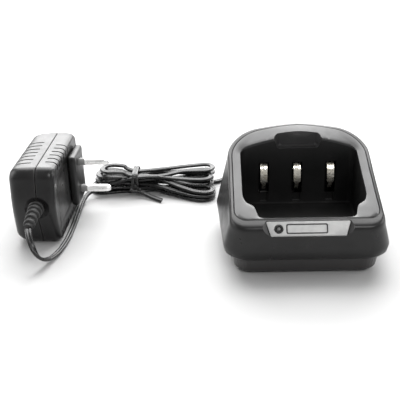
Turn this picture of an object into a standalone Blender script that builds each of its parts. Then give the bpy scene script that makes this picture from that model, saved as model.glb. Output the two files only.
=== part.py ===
"""Desktop drop-in charging cradle of a two-way radio, with its plug-in mains adapter and their lead.

The object is built in metres, +Z up.  The origin is the bottom centre of the cradle, on the surface
that it stands on; the cradle's front faces -Y.  The adapter stands on its narrow side at -X, and the
lead between them lies folded in a tied hank behind.  Lengths are written in millimetres and turned
into metres by MM where a mesh is made.
"""
import math

import bmesh
import bpy
from mathutils import Matrix, Vector

MM = 0.001
GAP = 0.3                       # clearance between pieces that touch

# Cradle body
BODY_HALF_WIDTH = 47.4          # at y = 0
BODY_TAPER = 0.0013             # share by which the width grows for each millimetre to the back
BODY_FRONT = -40.5
BODY_BACK = 40.5
PARTING_Z = 10.55               # joint between the base plate and the upper housing
SKIRT_Z = 16.5                  # height where the housing is widest
BASE_BOTTOM_Z = 1.5
BASE_FLOOR_Z = 3.5
FOOT_RADIUS = 4.5
FOOT_CENTRES = [(-33.0, -27.5), (33.0, -27.5), (-33.0, 26.5), (33.0, 26.5)]
FOOT_HEIGHT = BASE_BOTTOM_Z - GAP
WALL = 2.0

# Rim of the cradle: a plane that rises to the back, with an arch over its rear part
RIM_FRONT_Y = -36.0
RIM_FRONT_Z = 33.0
RIM_SLOPE = 0.3
ARCH_HEIGHT = 8.2
ARCH_POWER = 1.65
ARCH_START_Y = 0.0
ARCH_FULL_Y = 22.0
ARCH_HALF_WIDTH_INNER = 36.0
ARCH_HALF_WIDTH_SEAM = 41.2
ARCH_HALF_WIDTH_OUTER = 44.5

# Pocket that the radio drops into
POCKET_FLOOR_Z = 15.0
POCKET_FLOOR_THICKNESS = 2.0
POCKET_WALL = 1.4
POCKET_BACK_Y = 22.6
POCKET_HALF_WIDTH = 34.2
POCKET_STEP_Y = -24.1
POCKET_THROAT_HALF_WIDTH = 25.9
POCKET_FRONT_Y = -33.0
POCKET_FRONT_SQUEEZE = 0.28     # how much of the throat's depth is left at floor level
POCKET_CORNER_RADIUS = 4.0
FLANGE_THICKNESS = 1.8
SEAM_FRONT_Y = -35.0
SEAM_BACK_Y = 33.6
POST_CENTRES = [(-29.5, -17.0), (29.5, -17.0), (-29.5, 15.0), (29.5, 15.0)]

# Charging contacts in the pocket's back wall
CONTACT_PITCH = 20.0
CONTACT_WIDTH = 5.0
CONTACT_THICKNESS = 0.4
CONTACT_PIVOT_Y = 25.7
CONTACT_PIVOT_Z = 41.3
SLOT_LOW_Z = 21.6
SLOT_HIGH_Z = 42.2

# Silver trim plate on the sloped front edge
TRIM_CENTRE = Vector((0.0, -38.15, 29.6))
TRIM_TILT = math.atan2(6.6, 4.6)
TRIM_HEIGHT = 8.0
TRIM_TOP_HALF = 22.4
TRIM_BOTTOM_HALF = 20.3
TRIM_THICKNESS = 0.8
LED_X = -15.8
LED_RING_RADIUS = 2.2

# Charge board and the power inlet at the rear
BOARD_Z = 9.0
BOARD_THICKNESS = 1.6
BOARD_TOP_Z = BOARD_Z + BOARD_THICKNESS
BOARD_SCREWS = [(-20.0, -7.0), (20.0, -7.0)]
JACK_HALF_WIDTH = 4.6
JACK_X = -18.0
JACK_Z = 16.4
JACK_FRONT_Y = 25.0
JACK_BACK_Y = 36.8

# Mains adapter, in its own frame: u across (+u to the wall), v along, w up
ADAPTER_ORIGIN = Vector((-153.6, 1.6, 0.0))
ADAPTER_YAW = math.radians(-2.2)
ADAPTER_LENGTH = 65.0
ADAPTER_HEIGHT = 49.0
ADAPTER_OUTER_DEPTH = 17.3
ADAPTER_WALL_DEPTH = 10.5
ADAPTER_CROWN = 4.0             # how far the lead's end bulges at mid height
PLUG_BLOCK_DEPTH = 5.2
PLUG_CENTRE_V = 46.5
PLUG_CENTRE_W = 25.3
PLUG_HALF_LENGTH = 11.5
PLUG_HALF_HEIGHT = 16.6
PIN_SPACING = 18.6
PIN_RADIUS = 2.4
PIN_LENGTH = 19.0
VENT_PITCH = 5.4
VENT_WIDTH = 1.2

# Lead
CORD_RADIUS = 1.6
HANK_LOW_Z = 0.3
HANK_HIGH_Z = 13.0
LEAD_EXIT_W = 27.0
ADAPTER_RUN = [(-155.5, -19.5, 21.8), (-154.6, -23.2, 20.2), (-152.6, -27.6, 16.6), (-150.4, -29.4, 12.1),
               (-148.5, -28.3, 8.2), (-146.7, -24.6, 5.0), (-144.5, -18.2, 2.6), (-142.0, -9.2, 1.8),
               (-140.2, 2.3, 1.7), (-139.3, 14.8, 1.7), (-139.0, 28.1, 1.7), (-139.0, 43.4, 1.7),
               (-138.6, 56.0, 1.7), (-137.2, 66.2, 1.9)]
CRADLE_RUN = [(JACK_X, 62.6, JACK_Z), (-18.2, 68.0, 14.8), (-18.8, 76.0, 8.6), (-21.6, 84.6, 3.0),
              (-28.4, 90.8, 1.7), (-36.4, 91.6, 1.7), (-43.4, 88.6, 2.0), (-49.0, 85.4, 2.6)]
HANK_OUTLINE = [(-135.8, 79.3), (-133.8, 71.9), (-127.4, 69.1), (-115.4, 69.9), (-104.4, 70.5), (-90.4, 68.9),
                (-72.4, 63.7), (-58.4, 56.2), (-50.6, 54.6), (-49.6, 63.3), (-50.8, 74.3), (-51.0, 86.3),
                (-53.0, 94.9), (-60.4, 94.9), (-76.4, 89.9), (-92.4, 86.9), (-104.4, 86.1), (-118.4, 88.7),
                (-129.4, 90.3), (-134.4, 86.9)]
TIE_X = -104.4


# ---------------------------------------------------------------------------
# Helpers
# ---------------------------------------------------------------------------

def clear_scene():
    for item in list(bpy.data.objects):
        bpy.data.objects.remove(item, do_unlink=True)


def material(name, colour, roughness, metallic=0.0):
    """A Principled material made once and shared by the pieces that are of the same stuff."""
    found = bpy.data.materials.get(name)
    if found:
        return found
    mat = bpy.data.materials.new(name)
    mat.use_nodes = True
    shader = mat.node_tree.nodes["Principled BSDF"]
    shader.inputs["Base Color"].default_value = (*colour, 1.0)
    shader.inputs["Roughness"].default_value = roughness
    shader.inputs["Metallic"].default_value = metallic
    mat.diffuse_color = (*colour, 1.0)
    return mat


def black_abs():
    return material("black_abs", (0.022, 0.021, 0.022), 0.38)


def dark_plastic():
    return material("dark_plastic", (0.016, 0.016, 0.017), 0.5)


def black_rubber():
    return material("black_rubber", (0.02, 0.02, 0.02), 0.8)


def bright_metal():
    return material("bright_metal", (0.75, 0.74, 0.72), 0.22, 1.0)


def contact_metal():
    return material("contact_metal", (0.78, 0.7, 0.52), 0.28, 1.0)


def silver_trim():
    return material("silver_trim", (0.55, 0.55, 0.54), 0.32, 0.7)


def circuit_board():
    return material("circuit_board", (0.03, 0.14, 0.06), 0.5)


def black_flex():
    return material("black_flex", (0.018, 0.018, 0.019), 0.45)


def finish(name, bm, mat, parent=None, location=(0.0, 0.0, 0.0), smooth_angle=32.0):
    """Turn a bmesh in millimetres into a named object in metres."""
    bmesh.ops.recalc_face_normals(bm, faces=bm.faces)
    bmesh.ops.scale(bm, vec=(MM, MM, MM), verts=bm.verts)
    mesh = bpy.data.meshes.new(name)
    bm.to_mesh(mesh)
    bm.free()
    mesh.shade_smooth()
    mesh.set_sharp_from_angle(angle=math.radians(smooth_angle))
    mesh.materials.append(mat)
    item = bpy.data.objects.new(name, mesh)
    bpy.context.scene.collection.objects.link(item)
    item.parent = parent
    item.location = Vector(location) * MM
    return item


def empty(name, location, rotation=(0.0, 0.0, 0.0), parent=None):
    item = bpy.data.objects.new(name, None)
    bpy.context.scene.collection.objects.link(item)
    item.location = Vector(location) * MM
    item.rotation_euler = rotation
    item.parent = parent
    return item


def cut(item, name, bm, operation="DIFFERENCE", parent=None):
    """Boolean a bmesh (millimetres, in the piece's frame) into a piece through a hidden cutter."""
    cutter = finish(name, bm, black_abs(), parent)
    cutter.location = item.location
    cutter.hide_render = True
    cutter.display_type = "WIRE"
    modifier = item.modifiers.new(name, "BOOLEAN")
    modifier.operation = operation
    modifier.solver = "EXACT"
    modifier.object = cutter
    return modifier


def loft(rings, close_loop=False):
    """Skin a list of rings of equal length; the ends are capped, or joined into a loop."""
    bm = bmesh.new()
    rows = [[bm.verts.new(point) for point in ring] for ring in rings]
    count = len(rows[0])
    pairs = list(zip(rows, rows[1:]))
    if close_loop:
        pairs.append((rows[-1], rows[0]))
    for low, high in pairs:
        for i in range(count):
            j = (i + 1) % count
            bm.faces.new((low[i], low[j], high[j], high[i]))
    if not close_loop:
        bm.faces.new(list(reversed(rows[0])))
        bm.faces.new(rows[-1])
    return bm


def add_box(bm, low, high):
    centre = (Vector(low) + Vector(high)) / 2
    size = Vector(high) - Vector(low)
    place = Matrix.Translation(centre) @ Matrix.Diagonal((*size, 1.0))
    return bmesh.ops.create_cube(bm, size=1.0, matrix=place)


def box(low, high):
    bm = bmesh.new()
    add_box(bm, low, high)
    return bm


def bevelled_box(low, high, width, segments=2):
    bm = box(low, high)
    bmesh.ops.bevel(bm, geom=bm.edges[:], offset=width, segments=segments, affect="EDGES")
    return bm


def turned(profile, steps=24, axis="Z", centre=(0.0, 0.0, 0.0)):
    """Rings of a turned solid; profile is (radius, height) from one end to the other, never at 0."""
    rings = []
    for radius, height in profile:
        ring = []
        for k in range(steps):
            a = 2 * math.pi * k / steps
            flat = (radius * math.cos(a), radius * math.sin(a))
            point = {"Z": (flat[0], flat[1], height),
                     "Y": (flat[0], height, flat[1]),
                     "X": (height, flat[0], flat[1])}[axis]
            ring.append(Vector(point) + Vector(centre))
        rings.append(ring)
    return rings


def arc(centre, radius, start, end, count):
    """Points on an arc in degrees, without its last point."""
    points = []
    for k in range(count):
        a = math.radians(start + (end - start) * k / count)
        points.append((centre[0] + radius * math.cos(a), centre[1] + radius * math.sin(a)))
    return points


def straight(start, end, count):
    """Points on a line, without its last point."""
    return [(start[0] + (end[0] - start[0]) * k / count,
             start[1] + (end[1] - start[1]) * k / count) for k in range(count)]


def offset(points, distance):
    """Move a counter-clockwise outline outwards along its vertex normals."""
    moved = []
    count = len(points)
    for i, here in enumerate(points):
        before = Vector(points[i - 1])
        after = Vector(points[(i + 1) % count])
        first = (Vector(here) - before).normalized()
        second = (after - Vector(here)).normalized()
        normal = Vector((first.y + second.y, -first.x - second.x)).normalized()
        stretch = max(0.6, normal.dot(Vector((first.y, -first.x))))
        moved.append(tuple(Vector(here) + normal * distance / stretch))
    return moved


def smooth_step(value, low, high):
    t = min(max((value - low) / (high - low), 0.0), 1.0)
    return t * t * (3 - 2 * t)


def spline(points, per_span):
    """Catmull-Rom points through an open list of route points."""
    route = [Vector(p) for p in points]
    ends = [2 * route[0] - route[1]] + route + [2 * route[-1] - route[-2]]
    result = []
    for i in range(1, len(ends) - 2):
        a, b, c, d = ends[i - 1:i + 3]
        for k in range(per_span):
            t = k / per_span
            result.append(0.5 * (2 * b + (c - a) * t + (2 * a - 5 * b + 4 * c - d) * t ** 2
                                 + (3 * b - a - 3 * c + d) * t ** 3))
    result.append(route[-1])
    return result


def closed_spline(points, per_span):
    """Catmull-Rom points round a closed list of outline points."""
    count = len(points)
    result = []
    for i in range(count):
        a, b, c, d = (Vector(points[(i + k) % count]) for k in (-1, 0, 1, 2))
        for k in range(per_span):
            t = k / per_span
            result.append(0.5 * (2 * b + (c - a) * t + (2 * a - 5 * b + 4 * c - d) * t ** 2
                                 + (3 * b - a - 3 * c + d) * t ** 3))
    return result


def even_points(points, step):
    """Walk a dense polyline and keep points at an even step, both ends included."""
    lengths = [0.0]
    for a, b in zip(points, points[1:]):
        lengths.append(lengths[-1] + (b - a).length)
    count = max(2, round(lengths[-1] / step))
    result = []
    k = 0
    for i in range(count + 1):
        target = lengths[-1] * i / count
        while k < len(points) - 2 and lengths[k + 1] < target:
            k += 1
        span = lengths[k + 1] - lengths[k]
        result.append(points[k].lerp(points[k + 1], (target - lengths[k]) / span))
    return result


def tube(name, points, radius, mat, resolution=2):
    """A round tube on a poly spline with filled caps."""
    data = bpy.data.curves.new(name, "CURVE")
    data.dimensions = "3D"
    data.bevel_depth = radius * MM
    data.bevel_resolution = resolution
    data.use_fill_caps = True
    run = data.splines.new("POLY")
    run.points.add(len(points) - 1)
    for target, point in zip(run.points, points):
        target.co = (*(Vector(point) * MM), 1.0)
    data.materials.append(mat)
    item = bpy.data.objects.new(name, data)
    bpy.context.scene.collection.objects.link(item)
    return item


# ---------------------------------------------------------------------------
# Cradle outlines
# ---------------------------------------------------------------------------

def body_outline(half_width, front, back, front_radius=11.0, back_radius=19.0):
    """Plan outline of the cradle, counter-clockwise from the front's left corner."""
    w = half_width
    right_front = (w - front_radius, front + front_radius)
    right_back = (w - back_radius, back - back_radius)
    left_back = (-w + back_radius, back - back_radius)
    left_front = (-w + front_radius, front + front_radius)
    points = straight((-w + front_radius, front), (w - front_radius, front), 8)
    points += arc(right_front, front_radius, -90, 0, 7)
    points += straight((w, right_front[1]), (w, right_back[1]), 6)
    points += arc(right_back, back_radius, 0, 90, 8)
    points += straight((w - back_radius, back), (-w + back_radius, back), 8)
    points += arc(left_back, back_radius, 90, 180, 8)
    points += straight((-w, left_back[1]), (-w, left_front[1]), 6)
    points += arc(left_front, front_radius, 180, 270, 7)
    return points


def tapered(points):
    """Widen an outline towards the back, as the cradle's lower body does."""
    return [(x * (1.0 + BODY_TAPER * y), y) for x, y in points]


def pocket_outline(squeeze=1.0, inset=0.0):
    """Plan outline of the pocket with the same point count as body_outline.

    squeeze shortens the narrow throat at the front; inset draws the whole outline in.
    """
    def throat(y):
        return POCKET_STEP_Y + (y - POCKET_STEP_Y) * squeeze

    w = POCKET_HALF_WIDTH
    r = POCKET_CORNER_RADIUS
    front = throat(POCKET_FRONT_Y)
    a = (POCKET_THROAT_HALF_WIDTH, front)
    b = (28.1, POCKET_STEP_Y)
    c = (32.6, POCKET_STEP_Y + 3.2)
    d = (w, POCKET_STEP_Y + 8.2)
    half = straight((0.0, front), a, 4)
    half += straight(a, b, 3)
    half += straight(b, c, 2)
    half += straight(c, d, 2)
    half += straight(d, (w, POCKET_BACK_Y - r), 6)
    half += arc((w - r, POCKET_BACK_Y - r), r, 0, 90, 8)
    half += straight((w - r, POCKET_BACK_Y), (0.0, POCKET_BACK_Y), 4)
    left = [(-x, y) for x, y in reversed(half[1:])]
    points = half + [(0.0, POCKET_BACK_Y)] + left
    start = len(points) - 4
    points = points[start:] + points[:start]
    return offset(points, -inset) if inset else points


def rim_height(x, y, arch_half_width):
    """Height of the rim surface over a point of the plan."""
    arch = max(0.0, 1.0 - abs(x / arch_half_width) ** ARCH_POWER)
    return (RIM_FRONT_Z + RIM_SLOPE * (y - RIM_FRONT_Y)
            + ARCH_HEIGHT * arch * smooth_step(y, ARCH_START_Y, ARCH_FULL_Y))


def at_rim(points, arch_half_width, drop=0.0):
    return [(x, y, rim_height(x, y, arch_half_width) - drop) for x, y in points]


def at_height(points, z):
    return [(x, y, z) for x, y in points]


def between(low, high, t):
    return [tuple(Vector(a).lerp(Vector(b), t)) for a, b in zip(low, high)]


# ---------------------------------------------------------------------------
# Cradle pieces
# ---------------------------------------------------------------------------

def make_upper_housing():
    """Outer shell: flared skirt, sloping walls and a rounded shoulder up to the bezel seam."""
    w = BODY_HALF_WIDTH
    seam = body_outline(39.6, SEAM_FRONT_Y, SEAM_BACK_Y, 7.5, 16.5)
    outer = [
        at_height(tapered(body_outline(w - 2.4, -39.0, 39.2)), PARTING_Z + GAP),
        at_height(tapered(body_outline(w - 0.7, -40.1, 40.2)), SKIRT_Z - 3.7),
        at_height(tapered(body_outline(w, BODY_FRONT, BODY_BACK)), SKIRT_Z),
    ]
    low_shoulder = at_rim(body_outline(42.5, -39.9, 37.6, 10.0, 18.0), ARCH_HALF_WIDTH_OUTER, 6.2)
    outer += [
        between(outer[-1], low_shoulder, 0.5),
        low_shoulder,
        at_rim(body_outline(41.9, -39.1, 36.9, 9.5, 17.5), ARCH_HALF_WIDTH_OUTER, 2.8),
        at_rim(body_outline(41.0, -37.6, 35.5, 8.5, 16.8), ARCH_HALF_WIDTH_OUTER, 0.8),
        at_rim(seam, ARCH_HALF_WIDTH_SEAM),
    ]
    inner = [
        at_rim(seam, ARCH_HALF_WIDTH_SEAM, 2.2),
        at_rim(body_outline(40.4, -37.2, 35.2, 8.0, 16.4), ARCH_HALF_WIDTH_SEAM, 5.4),
        at_height(tapered(body_outline(w - WALL, BODY_FRONT + WALL, BODY_BACK - WALL, 9.0, 17.0)), SKIRT_Z),
        at_height(tapered(body_outline(w - 2.4 - WALL, -37.0, 37.2, 9.0, 17.0)), PARTING_Z + GAP),
    ]
    housing = finish("upper_housing", loft(outer + inner, close_loop=True), black_abs())
    cut(housing, "cut_trim_seat", trim_seat_cutter())
    cut(housing, "cut_led_hole", led_hole_cutter())
    jack_hole = loft(turned([(5.6, 34.0), (5.6, 45.0)], 24, "Y", (JACK_X, 0.0, JACK_Z)))
    cut(housing, "cut_jack_hole", jack_hole)
    return housing


def slanted(points, height):
    """Put local trim coordinates (x, along the slope) at a height over the sloped edge."""
    turn = Matrix.Rotation(TRIM_TILT, 3, "X")
    return [TRIM_CENTRE + turn @ Vector((x, s, height)) for x, s in points]


def trim_outline(grow=0.0):
    half = TRIM_HEIGHT / 2
    return [(-TRIM_BOTTOM_HALF - grow, -half - grow), (TRIM_BOTTOM_HALF + grow, -half - grow),
            (TRIM_TOP_HALF + grow, half + grow), (-TRIM_TOP_HALF - grow, half + grow)]


def trim_seat_cutter():
    """Flared recess in the shoulder for the trim plate."""
    floor = slanted(trim_outline(GAP), -TRIM_THICKNESS - GAP)
    level = slanted(trim_outline(GAP + 0.4), 0.0)
    mouth = slanted(trim_outline(4.0), 3.4)
    return loft([floor, level, mouth])


def led_hole_cutter():
    """Bore for the light pipe, square to the trim plate."""
    radius = LED_RING_RADIUS - 0.25
    angles = [k * math.pi / 10 for k in range(20)]
    circle = [(LED_X + radius * math.cos(a), radius * math.sin(a)) for a in angles]
    return loft([slanted(circle, -6.0), slanted(circle, -0.4)])


def merge(bm, other):
    """Move another bmesh's geometry into this one."""
    mesh = bpy.data.meshes.new("merge")
    other.to_mesh(mesh)
    other.free()
    bm.from_mesh(mesh)
    bpy.data.meshes.remove(mesh)


def make_pocket_insert():
    """Horseshoe bezel and pocket in one moulding, with the belt-clip notch and four screw posts."""
    edge = pocket_outline()
    seam = body_outline(39.6 - GAP, SEAM_FRONT_Y + GAP, SEAM_BACK_Y - GAP, 7.2, 16.2)
    floor = pocket_outline(POCKET_FRONT_SQUEEZE, 0.6)
    lip = at_rim(offset(edge, 0.45), ARCH_HALF_WIDTH_INNER, 0.1)
    seam_top = at_rim(seam, ARCH_HALF_WIDTH_SEAM, 0.1)
    middle = [tuple(Vector(p) + Vector((0, 0, 0.25))) for p in between(lip, seam_top, 0.5)]
    top = [
        at_height(offset(floor, -1.0), POCKET_FLOOR_Z),
        at_height(floor, POCKET_FLOOR_Z + 1.0),
        between(at_height(floor, POCKET_FLOOR_Z + 1.0), at_rim(edge, ARCH_HALF_WIDTH_INNER, 1.0), 0.55),
        at_rim(edge, ARCH_HALF_WIDTH_INNER, 0.7),
        lip,
        middle,
        seam_top,
    ]
    outside = offset(edge, POCKET_WALL)
    low_outside = offset(floor, POCKET_WALL)
    under_z = POCKET_FLOOR_Z - POCKET_FLOOR_THICKNESS
    bottom = [
        at_rim(seam, ARCH_HALF_WIDTH_SEAM, FLANGE_THICKNESS),
        at_rim(outside, ARCH_HALF_WIDTH_INNER, FLANGE_THICKNESS + 0.6),
        at_height(low_outside, under_z + 1.0),
        at_height(offset(floor, POCKET_WALL - 1.0), under_z),
    ]
    insert = finish("pocket_insert", loft(top + bottom), black_abs())
    cut(insert, "add_notch_block", notch_block(), "UNION")
    cut(insert, "cut_notch", notch_cutter())
    cut(insert, "add_posts", screw_posts(), "UNION")
    cut(insert, "cut_post_holes", post_holes())
    cut(insert, "cut_contact_slots", contact_slots())
    return insert


def notch_block():
    """Solid behind the back wall's top, which the belt-clip notch is cut into."""
    half = 18.6
    low = 48.8
    front = POCKET_BACK_Y + 0.4
    back = 28.6
    rings = [[(-half, front, low), (half, front, low), (half, back, low), (-half, back, low)],
             [(-half, front, 56.2), (half, front, 56.2), (half, back, 58.2), (-half, back, 58.2)]]
    return loft(rings)


def notch_cutter():
    """Flared notch: wide at its mouth in the pocket and at the rim, narrow at its foot."""
    low = 51.0
    high = 65.0
    front = POCKET_BACK_Y - 2.0
    back = POCKET_BACK_Y + 4.2
    rings = [[(-12.9, front, low), (12.9, front, low), (11.0, back, low), (-11.0, back, low)],
             [(-18.2, front, high), (18.2, front, high), (14.2, back, high), (-14.2, back, high)]]
    return loft(rings)


def screw_posts():
    bm = bmesh.new()
    for x, y in POST_CENTRES:
        merge(bm, loft(turned([(3.2, 4.9), (3.2, 13.6)], 16, "Z", (x, y, 0.0))))
    return bm


def post_holes():
    bm = bmesh.new()
    for x, y in POST_CENTRES:
        merge(bm, loft(turned([(1.5, 3.0), (1.5, 10.4)], 12, "Z", (x, y, 0.0))))
    return bm


def contact_slots():
    bm = bmesh.new()
    half = CONTACT_WIDTH / 2 + 0.6
    for k in (-1, 0, 1):
        x = k * CONTACT_PITCH
        add_box(bm, (x - half, POCKET_BACK_Y - 1.5, SLOT_LOW_Z), (x + half, POCKET_BACK_Y + 3.0, SLOT_HIGH_Z))
    return bm


def make_base_plate():
    """Dished bottom cover with counterbored screw holes and board bosses."""
    outer = [
        at_height(tapered(body_outline(39.8, -35.0, 35.8, 8.4, 16.0)), BASE_BOTTOM_Z),
        at_height(tapered(body_outline(41.0, -36.2, 37.0, 9.0, 17.0)), BASE_BOTTOM_Z + 1.2),
        at_height(tapered(body_outline(42.2, -37.4, 38.0, 9.6, 17.6)), PARTING_Z),
    ]
    inner = [
        at_height(tapered(body_outline(40.2, -35.4, 36.0, 8.0, 16.0)), PARTING_Z),
        at_height(tapered(body_outline(38.8, -34.0, 34.8, 7.4, 15.2)), BASE_FLOOR_Z),
    ]
    base = finish("base_plate", loft(outer + inner), black_abs())
    bosses = bmesh.new()
    for x, y in BOARD_SCREWS:
        merge(bosses, loft(turned([(2.6, 2.4), (2.6, BOARD_Z - GAP)], 14, "Z", (x, y, 0.0))))
    cut(base, "add_board_bosses", bosses, "UNION")
    holes = bmesh.new()
    for x, y in POST_CENTRES:
        profile = [(2.9, 0.5), (2.9, 2.4), (1.6, 2.4), (1.6, 4.6)]
        merge(holes, loft(turned(profile, 16, "Z", (x, y, 0.0))))
    for x, y in BOARD_SCREWS:
        merge(holes, loft(turned([(1.1, BOARD_Z - 2.1), (1.1, BOARD_Z + 1.0)], 12, "Z", (x, y, 0.0))))
    cut(base, "cut_base_holes", holes)
    return base


def make_feet():
    mat = black_rubber()
    for index, (x, y) in enumerate(FOOT_CENTRES, 1):
        profile = [(FOOT_RADIUS - 0.4, 0.0), (FOOT_RADIUS, 0.35), (FOOT_RADIUS, FOOT_HEIGHT)]
        finish(f"rubber_foot_{index}", loft(turned(profile, 20)), mat, None, (x, y, 0.0))


def make_base_screws():
    """Pan-head screws from below, through the base plate into the posts of the pocket insert."""
    mat = material("zinc_screw", (0.5, 0.5, 0.5), 0.35, 1.0)
    head_low = 0.7
    profile = [(2.2, 0.0), (2.6, 0.4), (2.6, 1.4), (1.2, 1.4), (1.2, 8.6), (0.7, 9.2)]
    for index, (x, y) in enumerate(POST_CENTRES, 1):
        screw = finish(f"base_screw_{index}", loft(turned(profile, 14)), mat, None, (x, y, head_low))
        cut(screw, f"cut_base_recess_{index}", cross_recess(0.8, 2.6, 0.6))


def cross_recess(depth, length, width):
    """Cross-shaped driver recess, open downwards."""
    half = length / 2
    side = width / 2
    outline = [(side, side), (half, side), (half, -side), (side, -side), (side, -half), (-side, -half),
               (-side, -side), (-half, -side), (-half, side), (-side, side), (-side, half), (side, half)]
    return loft([at_height(outline, -1.0), at_height(outline, depth)])


def make_trim():
    """Silver trim plate with a blank raised-edge panel, and the status light set in it."""
    frame = empty("trim_frame", TRIM_CENTRE, (TRIM_TILT, 0.0, 0.0))
    outline = trim_outline()
    bm = loft([[(x, s, -TRIM_THICKNESS) for x, s in outline], [(x, s, 0.0) for x, s in outline]])
    plate = finish("front_trim_plate", bm, silver_trim(), frame)
    hole = loft(turned([(LED_RING_RADIUS + GAP, -2.0), (LED_RING_RADIUS + GAP, 2.0)], 24, "Z",
                       (LED_X, 0.0, 0.0)))
    cut(plate, "cut_trim_hole", hole, parent=frame)
    panel = bevelled_box((-11.8, -2.6, -0.25), (10.3, 2.6, 2.0), 0.01, 1)
    cut(plate, "cut_trim_panel", panel, parent=frame)
    ring_profile = [(LED_RING_RADIUS, -0.7), (LED_RING_RADIUS, 0.25), (LED_RING_RADIUS - 0.25, 0.5),
                    (1.55, 0.5), (1.4, 0.3), (1.4, -0.7)]
    finish("led_ring", loft(turned(ring_profile, 24, "Z", (LED_X, 0.0, 0.0)), close_loop=True),
           dark_plastic(), frame)
    lens_profile = [(1.1, -2.4), (1.1, 0.0), (0.85, 0.28), (0.4, 0.42)]
    finish("led_light_pipe", loft(turned(lens_profile, 18, "Z", (LED_X, 0.0, 0.0))),
           material("clear_lens", (0.7, 0.75, 0.72), 0.1), frame)
    led_profile = [(1.3, -5.5), (1.3, -5.0), (1.15, -5.0), (1.15, -3.4), (0.85, -2.9), (0.4, -2.7)]
    finish("status_led", loft(turned(led_profile, 16, "Z", (LED_X, 0.0, 0.0))),
           material("led_epoxy", (0.6, 0.08, 0.06), 0.2), frame)


def ribbon(centre_line, thickness, width):
    """A strip of sheet metal: a centre line in (y, z), given a thickness and a width along x."""
    line = [Vector(p) for p in centre_line]
    left = []
    right = []
    for i, here in enumerate(line):
        before = line[max(i - 1, 0)]
        after = line[min(i + 1, len(line) - 1)]
        along = (after - before).normalized()
        side = Vector((-along.y, along.x)) * thickness / 2
        left.append(here + side)
        right.append(here - side)
    outline = left + list(reversed(right))
    low = [(-width / 2, p.x, p.y) for p in outline]
    high = [(width / 2, p.x, p.y) for p in outline]
    return loft([low, high])


def make_contacts():
    """Three sprung strips; each turns about its rolled upper end, which is the origin."""
    route = [(0.0, 0.0), (-1.3, -0.7), (-3.2, -2.6), (-4.5, -5.8), (-5.2, -9.4), (-5.1, -11.2),
             (-4.0, -13.0), (-2.4, -15.2), (-0.9, -17.2), (-0.3, -17.8)]
    line = [Vector((p.x, p.y)) for p in spline([(y, z, 0.0) for y, z in route], 3)]
    for index, k in enumerate((-1, 0, 1), 1):
        place = (k * CONTACT_PITCH, CONTACT_PIVOT_Y, CONTACT_PIVOT_Z)
        finish(f"contact_leaf_{index}", ribbon(line, CONTACT_THICKNESS, CONTACT_WIDTH), contact_metal(),
               None, place)


def make_contact_block():
    """Comb-shaped carrier behind the back wall that holds the contacts' upper ends."""
    wall_back = POCKET_BACK_Y + POCKET_WALL + 0.75
    bar_front = CONTACT_PIVOT_Y + 0.9
    bar_back = bar_front + 3.0
    feet = [(-30.0, -25.5), (-12.0, -8.0), (8.0, 12.0), (25.5, 30.0)]
    outline = []
    for left, right in feet:
        outline += [(left, bar_front), (left, wall_back), (right, wall_back), (right, bar_front)]
    outline = outline[1:-1] + [(30.0, bar_back), (-30.0, bar_back)]
    bm = loft([at_height(outline, 39.0), at_height(outline, 45.0)])
    finish("contact_block", bm, material("nylon", (0.08, 0.08, 0.08), 0.6))


def make_contact_wires():
    """Insulated wires from the contact carrier down to the charge board."""
    colours = [("wire_red", (0.5, 0.02, 0.02)), ("wire_black", (0.02, 0.02, 0.02)),
               ("wire_yellow", (0.6, 0.45, 0.03))]
    for index, k in enumerate((-1, 0, 1), 1):
        top = (k * CONTACT_PITCH, 30.3, 42.0)
        foot = (10.0 + 5.0 * k, 29.0, BOARD_TOP_Z + GAP)
        route = [top, (top[0], 31.6, 40.6), (top[0] * 0.8 + foot[0] * 0.2, 32.2, 33.0),
                 (foot[0], 31.0, 21.0), foot]
        tube(f"contact_wire_{index}", even_points(spline(route, 8), 2.4), 0.6,
             material(*colours[index - 1], 0.5), 1)


def make_charge_board():
    low = (-26.0, -13.0, BOARD_Z)
    high = (26.0, 34.0, BOARD_TOP_Z)
    board = finish("charge_board", box(low, high), circuit_board())
    holes = bmesh.new()
    for x, y in BOARD_SCREWS:
        merge(holes, loft(turned([(1.3, BOARD_Z - 1.0), (1.3, BOARD_TOP_Z + 1.0)], 12, "Z", (x, y, 0.0))))
    cut(board, "cut_board_holes", holes)
    top = BOARD_TOP_Z
    profile = [(0.9, -3.2), (0.95, 0.0), (1.9, GAP), (1.9, 1.1), (1.2, 1.5)]
    for index, (x, y) in enumerate(BOARD_SCREWS, 1):
        finish(f"board_screw_{index}", loft(turned(profile, 12)),
               material("zinc_screw", (0.5, 0.5, 0.5), 0.35, 1.0), None, (x, y, top))
    chip = bevelled_box((-4.0, 2.0, top + GAP), (4.0, 9.0, top + GAP + 1.5), 0.2, 1)
    finish("charge_control_chip", chip, material("chip_epoxy", (0.02, 0.02, 0.022), 0.6))
    can = [(3.6, 0.0), (4.0, 0.4), (4.0, 9.6), (3.6, 10.4)]
    finish("filter_capacitor", loft(turned(can, 20)), material("capacitor_sleeve", (0.02, 0.03, 0.12), 0.35),
           None, (-4.5, 29.2, top + GAP))
    coil = [(3.9, 0.0), (4.2, 0.3), (4.2, 1.0), (2.8, 1.4), (2.8, 4.0), (4.2, 4.4), (4.2, 5.2), (3.9, 5.5)]
    finish("power_inductor", loft(turned(coil, 20)), material("ferrite", (0.05, 0.05, 0.05), 0.7),
           None, (21.0, 29.5, top + GAP))
    regulator = bevelled_box((-16.0, 12.0, top + GAP), (-9.5, 18.0, top + GAP + 1.6), 0.2, 1)
    finish("charge_transistor", regulator, material("chip_epoxy", (0.02, 0.02, 0.022), 0.6))


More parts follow.
